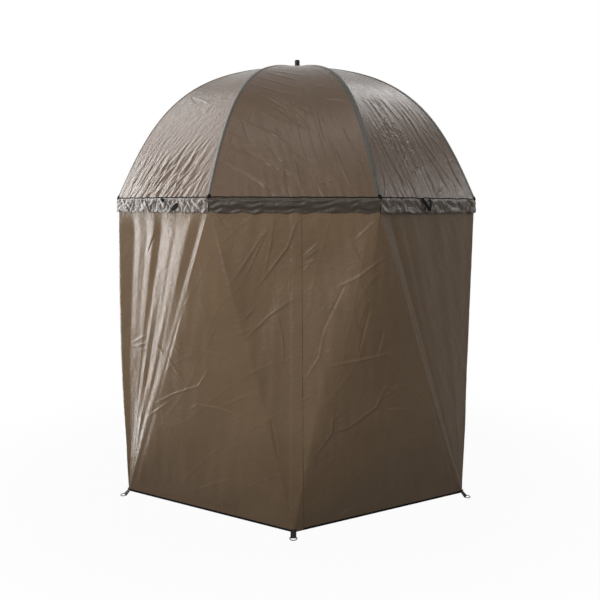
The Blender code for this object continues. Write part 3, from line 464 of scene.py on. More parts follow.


# Valance
# A strip of the same cloth, 64 mm deep, is sewn under the brim of each gore to shed the drips over the
# walls. It was packed folded, so it is crumpled all over, and its free edge stands off. The front one
# bellies out below the seam, and its darker cloth is painted shade from the brim.
VALANCE_DEPTH = 0.064
VALANCE_OFF = 0.0012
VALANCE_FLARE = 0.004
FRONT_BELLY, FRONT_TUCK = 0.007, 0.0075
EDGE_WAVE = 0.0022
VALANCE_COLUMNS, VALANCE_ROWS = 240, 28
MID_BRIM = BRIM_RADIUS * math.cos(HALF_GORE)


def crumple(x, y, wide, tall, seed):
    """Flat facets with sharp edges between them, about 1 high, on a bent grid of triangles."""
    heights = np.random.default_rng(seed).uniform(0.3, 1.0, (64, 64))
    heights[::2, ::2] *= -1
    heights[1::2, 1::2] *= -1
    a = x / wide + 0.45 * waves(x, y, 40, 60, 2.5 * wide, seed + 1, 6) + 20
    b = y / tall + 0.40 * waves(x, y, 10, 60, 2.5 * wide, seed + 2, 6) + 20
    i, j = np.floor(a).astype(int), np.floor(b).astype(int)
    a, b = a - i, b - j
    turned = (i % 2).astype(bool)
    a = np.where(turned, 1 - a, a)
    near, far = np.where(turned, i + 1, i) % 64, np.where(turned, i, i + 1) % 64
    here, beside = heights[near, j % 64], heights[far, j % 64]
    below, across = heights[near, (j + 1) % 64], heights[far, (j + 1) % 64]
    first = here + a * (beside - here) + b * (below - here)
    second = across + (1 - a) * (below - across) + (1 - b) * (beside - across)
    return np.where(a + b < 1, first, second)


valance_taffeta = taffeta("valance_taffeta", (0.056, 0.041, 0.031), (0.082, 0.062, 0.048), 0.22, 0.38)
# A darker copy of the valance cloth for the front one: painted shade.
front_valance_painted_shade = taffeta(
    "front_valance_painted_shade", (0.030, 0.022, 0.016), (0.046, 0.034, 0.025), 0.21, 0.38
)
for k in range(RIBS):
    toward, across = gore_ways(k)
    u = np.linspace(-1, 1, VALANCE_COLUMNS)[None, :]
    v = np.linspace(0, 1, VALANCE_ROWS)[:, None]
    x = np.broadcast_to(BRIM_RADIUS * math.sin(HALF_GORE) * u, (VALANCE_ROWS, VALANCE_COLUMNS))
    drop = np.broadcast_to(VALANCE_DEPTH * v, x.shape)
    edge = EDGE_WAVE * waves(x[:1], x[:1] * 0, 0, 0, 0.09, 300 + k)
    hang = drop + edge * v
    free = ramp(v, 0.0, 0.25) * (0.4 + 0.6 * ramp(1 - np.abs(u), 0.0, 0.06))
    if k == FRONT_GORE:
        rough = crumple(x, drop, 0.060, 0.015, 400 + 7 * k) * 0.0036
        off = VALANCE_OFF + FRONT_BELLY * ramp(v, 0.0, 0.3) - FRONT_TUCK * ramp(v, 0.3, 1.0)
        off = off + free * (rough + 0.003)
    else:
        rough = crumple(x, drop, 0.040, 0.024, 400 + 7 * k) * (0.0036 if k == LEFT_GORE else 0.0050)
        rough += crumple(x, drop, 0.017, 0.014, 401 + 7 * k) * 0.0010
        off = VALANCE_OFF + VALANCE_FLARE * v ** 0.8 + free * (rough + 0.0025)
    points = (MID_BRIM + off)[..., None] * toward + x[..., None] * across
    points = points * np.array([1, 1, 0]) + (BRIM_Z - hang)[..., None] * UP
    cloth = front_valance_painted_shade if k == FRONT_GORE else valance_taffeta
    valance = cloth_mesh(f"valance_{k + 1}", points, cloth)
    sew_to_rib(valance, k)


# Brim piping, rib seams and corner patches
# A bead of black piping is caught in the seam between gore and valance. Each rib runs in a flat-felled
# seam, a paler strip that is widest half way down and lies mostly on one gore. A small black patch on
# the corner pockets the rib's tip.
PIPING_RADIUS = 0.0024
PIPING_OFF = 0.0012
PIPING_WAVE = 0.0006
SEAM_TOP, SEAM_MIDDLE, SEAM_BRIM = 0.012, 0.020, 0.014
SEAM_CROWN_SHARE = 0.36
SEAM_NARROW = 0.28
SEAM_PROUD, SEAM_THICK = 0.0012, 0.002
PATCH_ROWS = ((-0.012, 0.005), (-0.007, 0.0085), (-0.002, 0.0105), (0.0015, 0.0105))
PATCH_PLACES = (-1, -0.6, -0.25, 0, 0.25, 0.6, 1)
PATCH_OFF, PATCH_LOW_OFF = 0.002, 0.0032
PATCH_HALF, PATCH_DROP = 0.009, 0.009
PATCH_PROUD, PATCH_THICK = 0.0016, 0.0022


def solid_piece(name, points, faces, made):
    """A piece from its corners and faces, in one finish."""
    mesh = bpy.data.meshes.new(name)
    mesh.from_pydata(points, [], faces)
    mesh.materials.append(made)
    return stand(name, mesh)


def bead_piece(name, path, radius, made, sides=8):
    """A round bead along a nearly level path, with closed ends."""
    tangent = np.gradient(path, axis=0)
    tangent /= np.linalg.norm(tangent, axis=1)[:, None]
    side = np.cross(tangent, UP)
    side /= np.linalg.norm(side, axis=1)[:, None]
    above = np.cross(side, tangent)
    around = np.linspace(0, 2 * math.pi, sides, endpoint=False)
    rings = path[:, None] + radius * (
        np.cos(around)[None, :, None] * side[:, None] + np.sin(around)[None, :, None] * above[:, None]
    )
    index = np.arange(len(path) * sides).reshape(len(path), sides)
    turned = np.roll(index, -1, axis=1)
    quads = np.stack([index[:-1], turned[:-1], turned[1:], index[1:]], axis=-1).reshape(-1, 4)
    faces = quads.tolist() + [index[0][::-1].tolist(), index[-1].tolist()]
    bead = solid_piece(name, rings.reshape(-1, 3).tolist(), faces, made)
    bead.data.shade_smooth()
    return bead


def strip_piece(name, outer, way_out, thick, made):
    """A closed strip of binding: rows of points, the way out of each row, and how thick it is."""
    inner = outer - np.broadcast_to(way_out * thick, outer.shape)
    count, wide = outer.shape[:2]
    points = np.concatenate([outer, inner[:, ::-1]], axis=1)
    around = np.concatenate([points, points[:, :1]], axis=1)
    index = np.arange(count * 2 * wide).reshape(count, 2 * wide)
    index = np.concatenate([index, index[:, :1]], axis=1)
    quads = np.stack([index[:-1, :-1], index[1:, :-1], index[1:, 1:], index[:-1, 1:]], axis=-1)
    faces = quads.reshape(-1, 4).tolist()
    faces += [index[0, :-1].tolist(), index[-1, :-1][::-1].tolist()]
    strip = solid_piece(name, around[:, :-1].reshape(-1, 3).tolist(), faces, made)
    strip.data.shade_smooth()
    strip.data.set_sharp_from_angle(angle=math.radians(50))
    return strip


def beside(k, place):
    """The level way along the brim at rib k, on the side that a place's sign gives."""
    return heading((2 * k + 1) * HALF_GORE + math.copysign(HALF_GORE, place) + math.pi / 2)


black_binding = patchy_finish(
    "black_binding", 0.6, (0.01, (0.004, 0.004, 0.004), (0.014, 0.013, 0.013)), (0.008, 0.5, 0.75),
    [(0.0012, 0.0002, 1)], gloss=0.02,
)
seam_tape = patchy_finish(
    "seam_tape", 0.5, (0.02, (0.034, 0.032, 0.025), (0.054, 0.051, 0.040)), (0.02, 0.42, 0.58),
    [(0.004, 0.0003, 2)], gloss=0.3,
)
rib_line, rib_arc, rib_slope, rib_lean = rib_course(GORE_ROWS)
picked = np.arange(6, GORE_ROWS, 2)
seam_width = np.interp(
    rib_arc[picked] / rib_arc[-1], [0, 0.45, 1], [SEAM_TOP, SEAM_MIDDLE, SEAM_BRIM]
)
seam_width = np.minimum(seam_width, SEAM_CROWN_SHARE * rib_line[picked, 0])[:, None]
for k in range(RIBS):
    corners = heading([(2 * k + 1) * HALF_GORE, (2 * k + 3) * HALF_GORE]) * (BRIM_RADIUS + PIPING_OFF)
    share = np.linspace(0.003, 0.997, 60)[:, None]
    path = corners[0] * (1 - share) + corners[1] * share
    wave = waves(share[:, 0], share[:, 0], 0, 0, 0.12, 500 + k)
    path[:, 2] = BRIM_Z - PIPING_WAVE + PIPING_WAVE * wave
    piping = bead_piece(f"brim_piping_{k + 1}", path, PIPING_RADIUS, black_binding)
    sew_to_rib(piping, k)

    out = heading((2 * k + 1) * HALF_GORE)
    rib_points = rib_line[picked, 0:1] * out + rib_line[picked, 1:2] * UP
    rise = rib_lean[picked, 0:1] * out + rib_lean[picked, 1:2] * UP
    stations = []
    for place in (-1, -0.95, -0.5, 0, 0.5, 0.95, 1):
        reach = 1 if place < 0 else SEAM_NARROW
        proud = SEAM_PROUD * (0.35 if abs(place) == 1 else 1)
        stations.append(rib_points + place * reach * seam_width * beside(k, place) + proud * rise)
    outer = np.stack(stations, axis=1)
    seam = strip_piece(f"rib_seam_{k + 1}", outer, rise[:, None], SEAM_THICK, seam_tape)
    sew_to_rib(seam, k, folds=False)

    down_rib = rib_slope[-1, 0] * out + rib_slope[-1, 1] * UP
    rows = []
    for along, reach in PATCH_ROWS:
        middle = out * (BRIM_RADIUS + PATCH_OFF) + BRIM_Z * UP + down_rib * along
        rows.append([
            middle + place * reach * beside(k, place) + rise[-1] * PATCH_PROUD
            for place in PATCH_PLACES
        ])
    rows.append([
        out * (BRIM_RADIUS + PATCH_LOW_OFF) + place * PATCH_HALF * beside(k, place)
        + (BRIM_Z - PATCH_DROP) * UP for place in PATCH_PLACES
    ])
    patch = strip_piece(f"corner_patch_{k + 1}", np.array(rows), out, PATCH_THICK, black_binding)
    sew_to_rib(patch, k, folds=False)


# Guy loops
# A V of black tape is sewn under the piping of every other gore, to tie a guy cord to. The one on the
# left has dried skewed, half hidden in the crumpled valance.
# The black tape is drawn wide, so that it also paints the shade inside each V.
GUY_TAPE_AND_SHADE, GUY_THICK = 0.0085, 0.0011
GUY_TOP = 0.004
GUY_OFF, GUY_BOW, GUY_LAP = 0.006, 0.016, 0.0012
TUCKED_OFF, SHOWN_OFF = 0.0005, 0.010
# Gore, where the two ends are sewn, where they meet, and how far down that is
for k, starts, skew, low_end in (
    (0, (-0.075, -0.015), -0.040, 0.055), (2, (-0.030, 0.030), -0.006, 0.050),
    (4, (-0.030, 0.030), 0.004, 0.052), (6, (0.022, 0.182), 0.104, 0.056),
):
    toward, across = gore_ways(k)
    for number, start in enumerate(starts):
        share = np.linspace(0, 1, 24)[:, None]
        x = start * (1 - share) + skew * share
        fall = GUY_TOP + (low_end - GUY_TOP) * share
        off = GUY_OFF + GUY_BOW * np.sin(math.pi * share * 0.55) + GUY_LAP * number
        if k == LEFT_GORE:
            shown = ramp(share, 0.45, 0.6) if number else 1 - ramp(share, 0.15, 0.35)
            off = TUCKED_OFF + SHOWN_OFF * shown
        path = (MID_BRIM + off) * toward + x * across + (BRIM_Z - fall) * UP
        wide = np.cross(np.gradient(path, axis=0), toward)
        wide = wide / np.linalg.norm(wide, axis=1)[:, None] * GUY_TAPE_AND_SHADE
        outer = np.stack([path - wide, path, path + wide], axis=1)
        name = f"guy_loop_{k + 1}_{'ab'[number]}"
        sew_to_rib(strip_piece(name, outer, toward, GUY_THICK, black_binding), k)


# Side walls
# One wrap of the same taffeta in olive brown hangs from the brim to six pegs. Eight corners above and
# six below leave long triangles: those with their point down gather in folds, the others lie flat.
HEM_LIFT = 0.020
HEM_RADIUS = 0.940
WALL_TOP_Z = 1.425
BAND_Z = 1.373
DOOR_TOP_Z, DOOR_BOTTOM_Z = 1.370, 0.073
DOOR_REACH = 0.349
WALL_MID = MID_BRIM - 0.0015 - 0.0004
BRIM_SIDE, HEM_SIDE = 0.711, 0.94
HALF_FRONT = 0.355
SOFTNESS = 0.055
CREASE_DEPTH = 1.3
# The right half of the tent is side 1 and the left is side -1
SLACK = {1: 0.17, -1: 0.02}
FRONT_SAG = 0.115
FLAT_BULGE, FLANK_SAG = 0.012, 0.012
LEFT_BOW = 0.014
PULLED_RIDGE, RIDGE_WIDTH = 0.0035, 0.006
WALL_ROWS = 336
REAR_ROWS = 190

corner = WALL_MID / math.cos(HALF_GORE)
top_knots = np.array([
    heading(0) * WALL_MID, *[heading(HALF_GORE) * corner] * 2, heading(3 * HALF_GORE) * corner,
    heading(5 * HALF_GORE) * corner, *[heading(7 * HALF_GORE) * corner] * 2,
    heading(math.pi) * WALL_MID,
])
hem_knots = np.array([heading(math.pi / 3 * k) * HEM_RADIUS for k in (0, 0, 1, 1, 2, 2, 3, 3)])
facet_azimuths = np.radians([0, 30, 45, 90, 135, 150, 180])
HINGE = 6 - DOOR_REACH / np.linalg.norm(hem_knots[6] - hem_knots[5])


def lowering(z):
    """0 along the tucked top of the wall and 1 at the hem."""
    return np.clip((BAND_Z - z) / (BAND_Z - HEM_LIFT), 0, 1)


def straight_wrap(w, z):
    """The taut wall at place w, from 0 in front to 7 behind, and level z."""
    rear = w > 7
    around = np.abs(np.where(rear, 14 - w, w))
    flip = np.where(rear, -1.0, 1.0) * np.where(w < 0, -1.0, 1.0)
    i = np.clip(around.astype(int), 0, 6)
    f = (around - i)[..., None]
    down = lowering(z)[..., None]
    top = top_knots[i] * (1 - f) + top_knots[i + 1] * f
    hem = hem_knots[i] * (1 - f) + hem_knots[i + 1] * f
    point = top * (1 - down) + hem * down
    point[..., 0] *= flip
    azimuth = facet_azimuths[i]
    azimuth = np.where(w < 0, -azimuth, np.where(rear, 2 * math.pi - azimuth, azimuth))
    return point, azimuth


def soft_wrap(w, z, slack=0.0):
    """The wall with its corners eased, the one next to the front more by its slack, and its facing."""
    steps = np.linspace(-2, 2, 11)
    weights = np.exp(-steps**2 / 2)
    weights /= weights.sum()
    eased = SOFTNESS * np.minimum(np.abs(w - 3) * 2 + 0.15, 1) * np.minimum(np.abs(w - HINGE) * 3, 1)
    eased = eased + slack * np.exp(-((w - 1) / 0.45) ** 2)
    point = np.zeros((*w.shape, 3))
    facing = np.zeros_like(w)
    for step, weight in zip(steps, weights):
        p, azimuth = straight_wrap(w + step * eased, z)
        point += weight * p
        facing += weight * azimuth
    point[..., 2] = z
    return point, facing


def fold_line(turns):
    """A cross-section of folds, from how far the cloth turns at places across the triangle."""
    s = np.linspace(0, 1, 801)
    places, degrees = zip(*turns)
    angle = np.interp(s, places, degrees)
    blur = np.exp(-np.linspace(-2.5, 2.5, 31) ** 2)
    angle = np.convolve(np.pad(angle, 15, mode="edge"), blur / blur.sum(), mode="valid")
    line = -np.cumsum(np.tan(np.radians(angle))) / len(s)
    return s, line - s * line[-1]


left_folds = (
    (0.16, fold_line([
        (0, 7), (0.06, 8), (0.085, -15), (0.14, -15), (0.17, 6), (0.30, 9), (0.335, -2), (0.37, 7),
        (0.50, 9), (0.53, -18), (0.565, -18), (0.59, 7), (0.66, 9), (0.69, -2), (0.75, 0), (0.77, 7),
        (0.83, 8), (0.87, -14), (1, -14),
    ])),
    (0.57, fold_line([
        (0, -4), (0.03, 6), (0.05, 8), (0.17, 8), (0.20, -12), (0.23, -12), (0.26, 8), (0.37, 9),
        (0.40, -14), (0.45, -14), (0.475, 9), (0.55, 9), (0.575, -12), (0.60, 2), (0.84, 3),
        (0.87, -14), (1, -14),
    ])),
    (0.72, fold_line([
        (0, -6), (0.09, -2), (0.12, 6), (0.22, 6), (0.25, -10), (0.32, -10), (0.35, 9), (0.45, 9),
        (0.47, -8), (0.50, 8), (0.65, 8), (0.68, 2), (0.80, 2), (0.84, -14), (1, -14),
    ])),
    (0.86, fold_line([(0, -10), (0.05, -6), (0.08, 8), (0.74, 8), (0.80, -14), (1, -14)])),
)
right_folds = (
    (0.16, fold_line([
        (0, 8), (0.09, 10), (0.12, -13), (0.16, -4), (0.20, 6), (0.24, -8), (0.32, 3), (0.45, 4),
        (0.55, -4), (0.66, 3), (0.78, -3), (0.88, 3), (1, -5),
    ])),
    (0.6, fold_line([
        (0, 4), (0.09, 9), (0.125, -12), (0.17, -2), (0.32, 2), (0.5, 0), (0.60, -3), (0.66, 3),
        (0.88, 1), (1, -4),
    ])),
)
rear_folds = (
    (0.2, fold_line([
        (0, 6), (0.1, 8), (0.16, -12), (0.25, -8), (0.33, 8), (0.45, 6), (0.5, -14), (0.58, -6),
        (0.66, 9), (0.78, 4), (0.84, -10), (1, -5),
    ])),
    (0.7, fold_line([
        (0, 4), (0.2, 7), (0.28, -10), (0.4, -4), (0.5, 8), (0.66, -9), (0.8, 6), (1, -5),
    ])),
)


def fold_height(place, down, folds):
    """Height of the folds across a triangle, which change on the way down it."""
    levels = [level for level, _ in folds]
    total = np.zeros_like(place)
    for i, (_, (s, line)) in enumerate(folds):
        weight = np.interp(down, levels, np.eye(len(folds))[i])
        total += weight * np.interp(place, s, line)
    return total


def wall_folds(w, z, side):
    """How far the wall's folds stand out, on the right half for side 1 and the left for -1."""
    down = lowering(z)
    near_brim = ramp(WALL_TOP_Z - z, 0.0, 0.16)
    out = np.zeros_like(w)
    wide = 1 - down
    bend = 2 if side > 0 else 3
    sag = -FRONT_SAG * HALF_FRONT * wide * (1 - np.clip(w, 0, 1) ** bend)
    out += np.where((w >= 0) & (w < 1), sag * ramp(WALL_TOP_Z - z, 0.0, 0.35), 0)
    for start, folds in ((2, right_folds if side > 0 else left_folds), (4, rear_folds)):
        inside = (w >= start) & (w <= start + 1)
        folded = fold_height(w - start, down, folds) * BRIM_SIDE * wide * near_brim
        out += np.where(inside, folded, 0)
    bulge = np.sin(math.pi * np.clip(w - 1, 0, 1)) * np.sin(math.pi * down ** 1.3)
    out += np.where((w >= 1) & (w < 2), FLAT_BULGE * bulge, 0)
    sag = -FLANK_SAG * np.sin(math.pi * np.clip(w - 3, 0, 1)) * np.sin(math.pi * down)
    out += np.where((w > 3) & (w < 4), sag, 0)
    if side < 0:
        out += LEFT_BOW * np.sin(math.pi * down) * np.clip(1 - np.abs(w - 3), 0, 1) ** 2
    else:
        gap = np.where(w < 2, (2 - w) * HEM_SIDE * down, (w - 2) * BRIM_SIDE * wide)
        out += PULLED_RIDGE * np.exp(-(gap / RIDGE_WIDTH) ** 2) * ramp(wide, 0.0, 0.1) * near_brim
    return out


# Packing creases: height, and then places across and up, seen from the front, in mm
PACKING_CREASES = (
    (2.0, (-118, 1303), (-264, 1078)), (1.6, (-112, 1308), (-206, 1103)),
    (2.8, (16, 1353), (-28, 1231), (-148, 1071)), (1.8, (-84, 1357), (-98, 1247), (-126, 1113)),
    (1.8, (-330, 1365), (-285, 1307)), (1.8, (-291, 1330), (-214, 1274)),
    (1.6, (-218, 1353), (-151, 1297)), (2.0, (-39, 1247), (33, 1192)), (2.0, (-28, 1181), (29, 1147)),
    (1.4, (-76, 1254), (-30, 1247)), (2.2, (39, 1192), (99, 1247)), (2.0, (39, 1179), (104, 1231)),
    (2.0, (39, 1158), (98, 1181)), (1.6, (39, 1133), (66, 1158)),
    (2.2, (-5, 1013), (-106, 940), (-202, 848)), (1.8, (-168, 973), (-214, 923)),
    (1.0, (-515, 783), (-405, 777), (-270, 760)), (1.4, (-326, 901), (-372, 803)),
    (1.6, (-72, 944), (-50, 856), (-44, 771), (-50, 725)), (1.2, (-19, 1147), (-19, 1024)),
    (3.0, (-644, 497), (-543, 558), (-416, 614), (-369, 693)), (1.8, (-578, 735), (-488, 622)),
    (2.0, (-691, 423), (-629, 470), (-565, 519)),
    (2.2, (-466, 494), (-426, 526), (-323, 524), (-267, 511), (-231, 494)),
    (1.4, (-323, 526), (-169, 621)), (1.2, (-492, 85), (-357, 163), (-235, 223)),
    (-2.4, (-95, 503), (-84, 428), (-67, 353)), (3.0, (191, 1069), (263, 1103), (372, 1185)),
    (1.8, (233, 1255), (296, 1148)), (2.0, (263, 1103), (329, 992), (385, 923)),
    (1.2, (321, 1096), (417, 896)), (-2.4, (217, 1081), (157, 958), (124, 884), (105, 810)),
    (-2.0, (318, 975), (296, 883), (274, 786)), (-2.0, (380, 893), (369, 829), (349, 760)),
    (2.4, (135, 726), (193, 739), (353, 759), (414, 767)), (1.6, (186, 923), (267, 863)),
    (1.8, (51, 679), (108, 770), (134, 911)), (1.8, (251, 1259), (339, 1343)),
    (1.6, (489, 615), (419, 587), (363, 560)),
    (3.0, (412, 637), (370, 569), (352, 528), (297, 495), (232, 451), (181, 446)),
    (1.5, (383, 514), (506, 495)), (2.2, (206, 521), (167, 498), (161, 437), (150, 421), (86, 332)),
    (1.4, (190, 33), (220, 57), (269, 72)), (2.6, (-785, 752), (-735, 782), (-700, 800)),
    (2.4, (-780, 735), (-735, 750), (-700, 768)), (2.0, (-745, 725), (-700, 735)),
    (2.0, (-640, 770), (-600, 735)), (-2.4, (-690, 1190), (-640, 1290)),
)


def wall_wrinkles(x, z, w, side, seed):
    """Fine wrinkles of the hanging cloth, drawn out along its folds."""
    down = lowering(z)
    calm = ramp(WALL_TOP_Z - z, 0.02, 0.08) * ramp(z, 0.02, 0.12)
    busy = ramp(w, 2.9, 3.3)
    height = 0.0009 + 0.0012 * busy
    fine = waves(x, z, 8 * side, 10, 0.07, seed) * 0.0004
    slants = crests(waves(x, z, 50 * side, 16, 0.34, seed + 1), 0.09) * height
    slants += crests(waves(x, z, -40 * side, 16, 0.42, seed + 2), 0.08) * height
    broad = waves(x, z, 16 * side, 26, 0.42, seed + 3) * 0.0026
    folded = ramp(w, 1.96, 2.04) * (1 - busy)
    return (fine * (1 - 0.6 * folded) + (slants + broad) * (1 - 0.8 * folded)) * calm


def wall_grid(places, levels, side, seed):
    """Points of the finished wall on one half, and each one's place across."""
    w, z = np.broadcast_arrays(places[None, :], levels[:, None])
    w, z = w.copy(), z.copy()
    point, facing = soft_wrap(w, z, SLACK[side])
    step = np.linalg.norm(np.diff(point, axis=1), axis=-1)
    across = np.concatenate([np.zeros((len(levels), 1)), np.cumsum(step, axis=1)], axis=1)
    start = np.abs(point[:, :1, 0]) if places[0] < 1 else 0.9
    x = (across + start) * side
    edge = ramp(np.abs(w - 2), 0.0, 0.06) * ramp(np.abs(w - 4), 0.0, 0.08)
    edge = edge * ramp(np.abs(w - HINGE), 0.07, 0.2)
    edge = edge * ramp(np.abs(w - 7), 0.0, 0.1) if places[-1] > 6.9 else edge
    edge = edge * ramp(np.abs(x), 0.045, 0.10) if places[0] < 1 else edge
    off = wall_folds(w, z, side)
    off += wall_wrinkles(x, z, w, side, seed) * edge * ramp(1 - lowering(z), 0.0, 0.05)
    if places[0] < 4:
        off += creased(point[..., 0] * side, z, PACKING_CREASES) * CREASE_DEPTH
    point += heading(facing) * off[..., None]
    point[..., 0] *= side
    return point


def lay_down(piece):
    """Gives a hanging piece a mesh of its own."""
    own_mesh(piece)


# The lower half of the walls carries painted shade.
wall_taffeta = taffeta(
    "wall_taffeta", (0.074, 0.048, 0.027), (0.140, 0.093, 0.055), 0.13, 0.38, crinkle=0.8, painted_shade_height=0.5
)
front_columns = np.concatenate([np.linspace(0, 1, 82, endpoint=False), np.linspace(1, 2, 208)])
side_columns = np.concatenate([np.linspace(2, 3, 180, endpoint=False), np.linspace(3, 4, 100)])
wall_levels = np.linspace(WALL_TOP_Z, HEM_LIFT, WALL_ROWS)
rear_columns = np.concatenate([
    np.linspace(4, 5, 90, endpoint=False), np.linspace(5, HINGE, 60, endpoint=False),
    np.linspace(HINGE, 6, 40, endpoint=False), np.linspace(6, 7, 60),
])
rear_levels = np.concatenate([
    np.linspace(WALL_TOP_Z, DOOR_TOP_Z, 7, endpoint=False),
    np.linspace(DOOR_TOP_Z, DOOR_BOTTOM_Z, REAR_ROWS - 13, endpoint=False),
    np.linspace(DOOR_BOTTOM_Z, HEM_LIFT, 6),
])
for name, side in (("right", 1), ("left", -1)):
    grid = wall_grid(front_columns, wall_levels, side, 20 + side)
    front = cloth_mesh(f"wall_front_{name}", grid, wall_taffeta)
    grid = wall_grid(side_columns, wall_levels, side, 30 + side)
    flank = cloth_mesh(f"wall_side_{name}", grid, wall_taffeta)
    grid = wall_grid(rear_columns, rear_levels, side, 40 + side)
    beyond = (rear_columns[:-1] >= HINGE - 1e-9)[None, :]
    amid = (rear_levels[:-1] <= DOOR_TOP_Z + 1e-9) & (rear_levels[:-1] > DOOR_BOTTOM_Z + 1e-9)
    door_cells = beyond & amid[:, None]
    rear = cloth_mesh(f"wall_rear_{name}", grid, wall_taffeta, ~door_cells.reshape(-1))
    door = cloth_mesh(f"door_flap_{name}", grid, wall_taffeta, door_cells.reshape(-1))
    for sewn, carrier, node, flat, area, above in (
        (front, "frame", f"wall_{name}", (0.95, 1.42), 0.92, ["gore_8", "gore_1"]),
        (flank, "frame", f"wall_{name}", (1.42, 1.42), 1.68, ["gore_1", "gore_2"]),
        (rear, "frame", f"wall_{name}", (1.10, 1.42), 1.0, ["gore_3", "gore_4"]),
        (door, f"door_{name}", f"door_{name}", (0.62, 1.30), 0.46, [rear.name]),
    ):
        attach(sewn, carrier)
        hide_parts(node)
        lay_down(sewn)


# Zip
# A nylon coil zip, 5 mm wide when it is closed, on woven black tape that is stitched inside the edges
# of the two flaps. The steel slider runs up the teeth of the right flap.
ZIP_END = 0.006
ZIP_PITCH, TOOTH_SHARE = 0.0032, 0.55
TAPE_SECTION = (0.0004, 0.014, 0.0005, 0.0012)
TOOTH_SECTION = (0.0004, 0.0030, 0.0012, 0.0033)
zip_ends = []
for z in (DOOR_BOTTOM_Z, DOOR_TOP_Z):
    point, _ = straight_wrap(np.array([7.0]), np.array([z]))
    zip_ends.append(np.array([0, point[0, 1], z]))
zip_low, zip_high = zip_ends
zip_along = (zip_high - zip_low) / np.linalg.norm(zip_high - zip_low)
zip_length = np.linalg.norm(zip_high - zip_low) - 2 * ZIP_END
zip_out = np.array([0, zip_along[2], -zip_along[1]])


def zip_block(points, faces, side, section, foot, top):
    """Adds a bar along the zip: its least and most distance to the side and outwards, and its ends."""
    near, far, inner, outer = section
    start = len(points)
    for along in (foot, top):
        for x, off in ((near, inner), (far, inner), (far, outer), (near, outer)):
            spot = zip_low + zip_along * (ZIP_END + along) + zip_out * off + np.array([side * x, 0, 0])
            points.append(spot.tolist())
    for quad in ((0, 3, 2, 1), (4, 5, 6, 7), (0, 1, 5, 4), (1, 2, 6, 5), (2, 3, 7, 6), (3, 0, 4, 7)):
        faces.append([start + i for i in (quad if side > 0 else quad[::-1])])


nylon_coil = patchy_finish(
    "nylon_coil", 0.4, (0.004, (0.006, 0.006, 0.006), (0.018, 0.017, 0.017)), (0.004, 0.35, 0.5),
    [(0.0008, 0.00008, 1)], gloss=0.15,
)
for name, side in (("right", 1), ("left", -1)):
    points, faces = [], []
    zip_block(points, faces, side, TAPE_SECTION, 0.0, zip_length)
    for i in range(int(zip_length / ZIP_PITCH)):
        foot = i * ZIP_PITCH + (0 if side > 0 else ZIP_PITCH / 2)
        top = min(foot + ZIP_PITCH * TOOTH_SHARE, zip_length)
        zip_block(points, faces, side, TOOTH_SECTION, foot, top)
    zip_half = solid_piece(f"zip_half_{name}", points, faces, nylon_coil)
    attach(zip_half, f"door_{name}")
    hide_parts(f"zip_tape_{name}")
    lay_down(zip_half)


# Front placket
# The wrap closes in front with a flap, 58 mm wide, sewn down on the left and lapped over the right
# half. Its free edge makes the dark upright line down the middle of the tent.
PLACKET_COLUMNS, PLACKET_ROWS = 14, 240
SEWN_EDGE = -0.021
FREE_EDGE_LOW, FREE_EDGE_HIGH = 0.042, 0.030
placket_levels = np.linspace(WALL_TOP_Z - 0.03, HEM_LIFT + 0.001, PLACKET_ROWS)
share = np.linspace(0, 1, PLACKET_COLUMNS)
free_edge = np.interp(placket_levels, [0, 1.4], [FREE_EDGE_LOW, FREE_EDGE_HIGH])
placket_x = SEWN_EDGE + (free_edge[:, None] - SEWN_EDGE) * share[None, :]
placket_z = np.broadcast_to(placket_levels[:, None], placket_x.shape).copy()
placket_slack = np.where(placket_x < 0, SLACK[-1], SLACK[1])
# Halving finds the place on the wrap that lies as far from the middle as each point of the placket
near, far = np.zeros_like(placket_x), np.full_like(placket_x, 1.6)
for _ in range(22):
    half = (near + far) / 2
    short = soft_wrap(half, placket_z, placket_slack)[0][..., 0] < np.abs(placket_x)
    near, far = np.where(short, half, near), np.where(short, far, half)
placket_points, placket_facing = soft_wrap(half, placket_z, placket_slack)
flip = np.where(placket_x < 0, -1.0, 1.0)
off = np.where(placket_x < 0, wall_folds(half, placket_z, -1), wall_folds(half, placket_z, 1))
placket_points += heading(placket_facing) * off[..., None]
placket_points[..., 0] *= flip
off = creased(placket_points[..., 0], placket_z, PACKING_CREASES) * CREASE_DEPTH
off += 0.0004 + 0.0020 * ramp(share, 0.0, 0.3)[None, :] + 0.0006 * np.sin(math.pi * share)[None, :]
ripple = 0.0007 * waves(placket_points[..., 0], placket_z, 90, 10, 0.2, 77)
off += ripple * ramp(share, 0.1, 0.5)[None, :]
placket_points[..., 1] -= off
placket = cloth_mesh("front_placket", placket_points, wall_taffeta)
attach(placket, "frame")
lay_down(placket)


# Hem binding
# A black tape is folded over the raw edge at the foot of the wrap and stitched through, from corner
# to corner of the hexagon.
HEM_TAPE, HEM_THICK = 0.009, 0.0016
hem_corners = hem_knots[::2]
hem_path = [
    a * (1 - share) + b * share for a, b in zip(hem_corners, hem_corners[1:])
    for share in np.linspace(0, 1, 40, endpoint=False)
]
for name, side in (("right", 1), ("left", -1)):
    path = np.array([*hem_path, hem_corners[-1]])
    path[:, 0] *= side
    out = path / np.linalg.norm(path, axis=1)[:, None]
    low = path + (HEM_LIFT - 0.0012) * UP + out * 0.0005
    rise = HEM_TAPE * UP
    outer = np.stack([
        low - out * 0.0008, low + out * 0.0012, low + out * 0.0015 + rise * 0.5,
        low + out * 0.0013 + rise, low + out * 0.0002 + rise * 1.02,
    ], axis=1)
    hem = strip_piece(f"hem_binding_{name}", outer, out[:, None], HEM_THICK, black_binding)
    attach(hem, "frame")


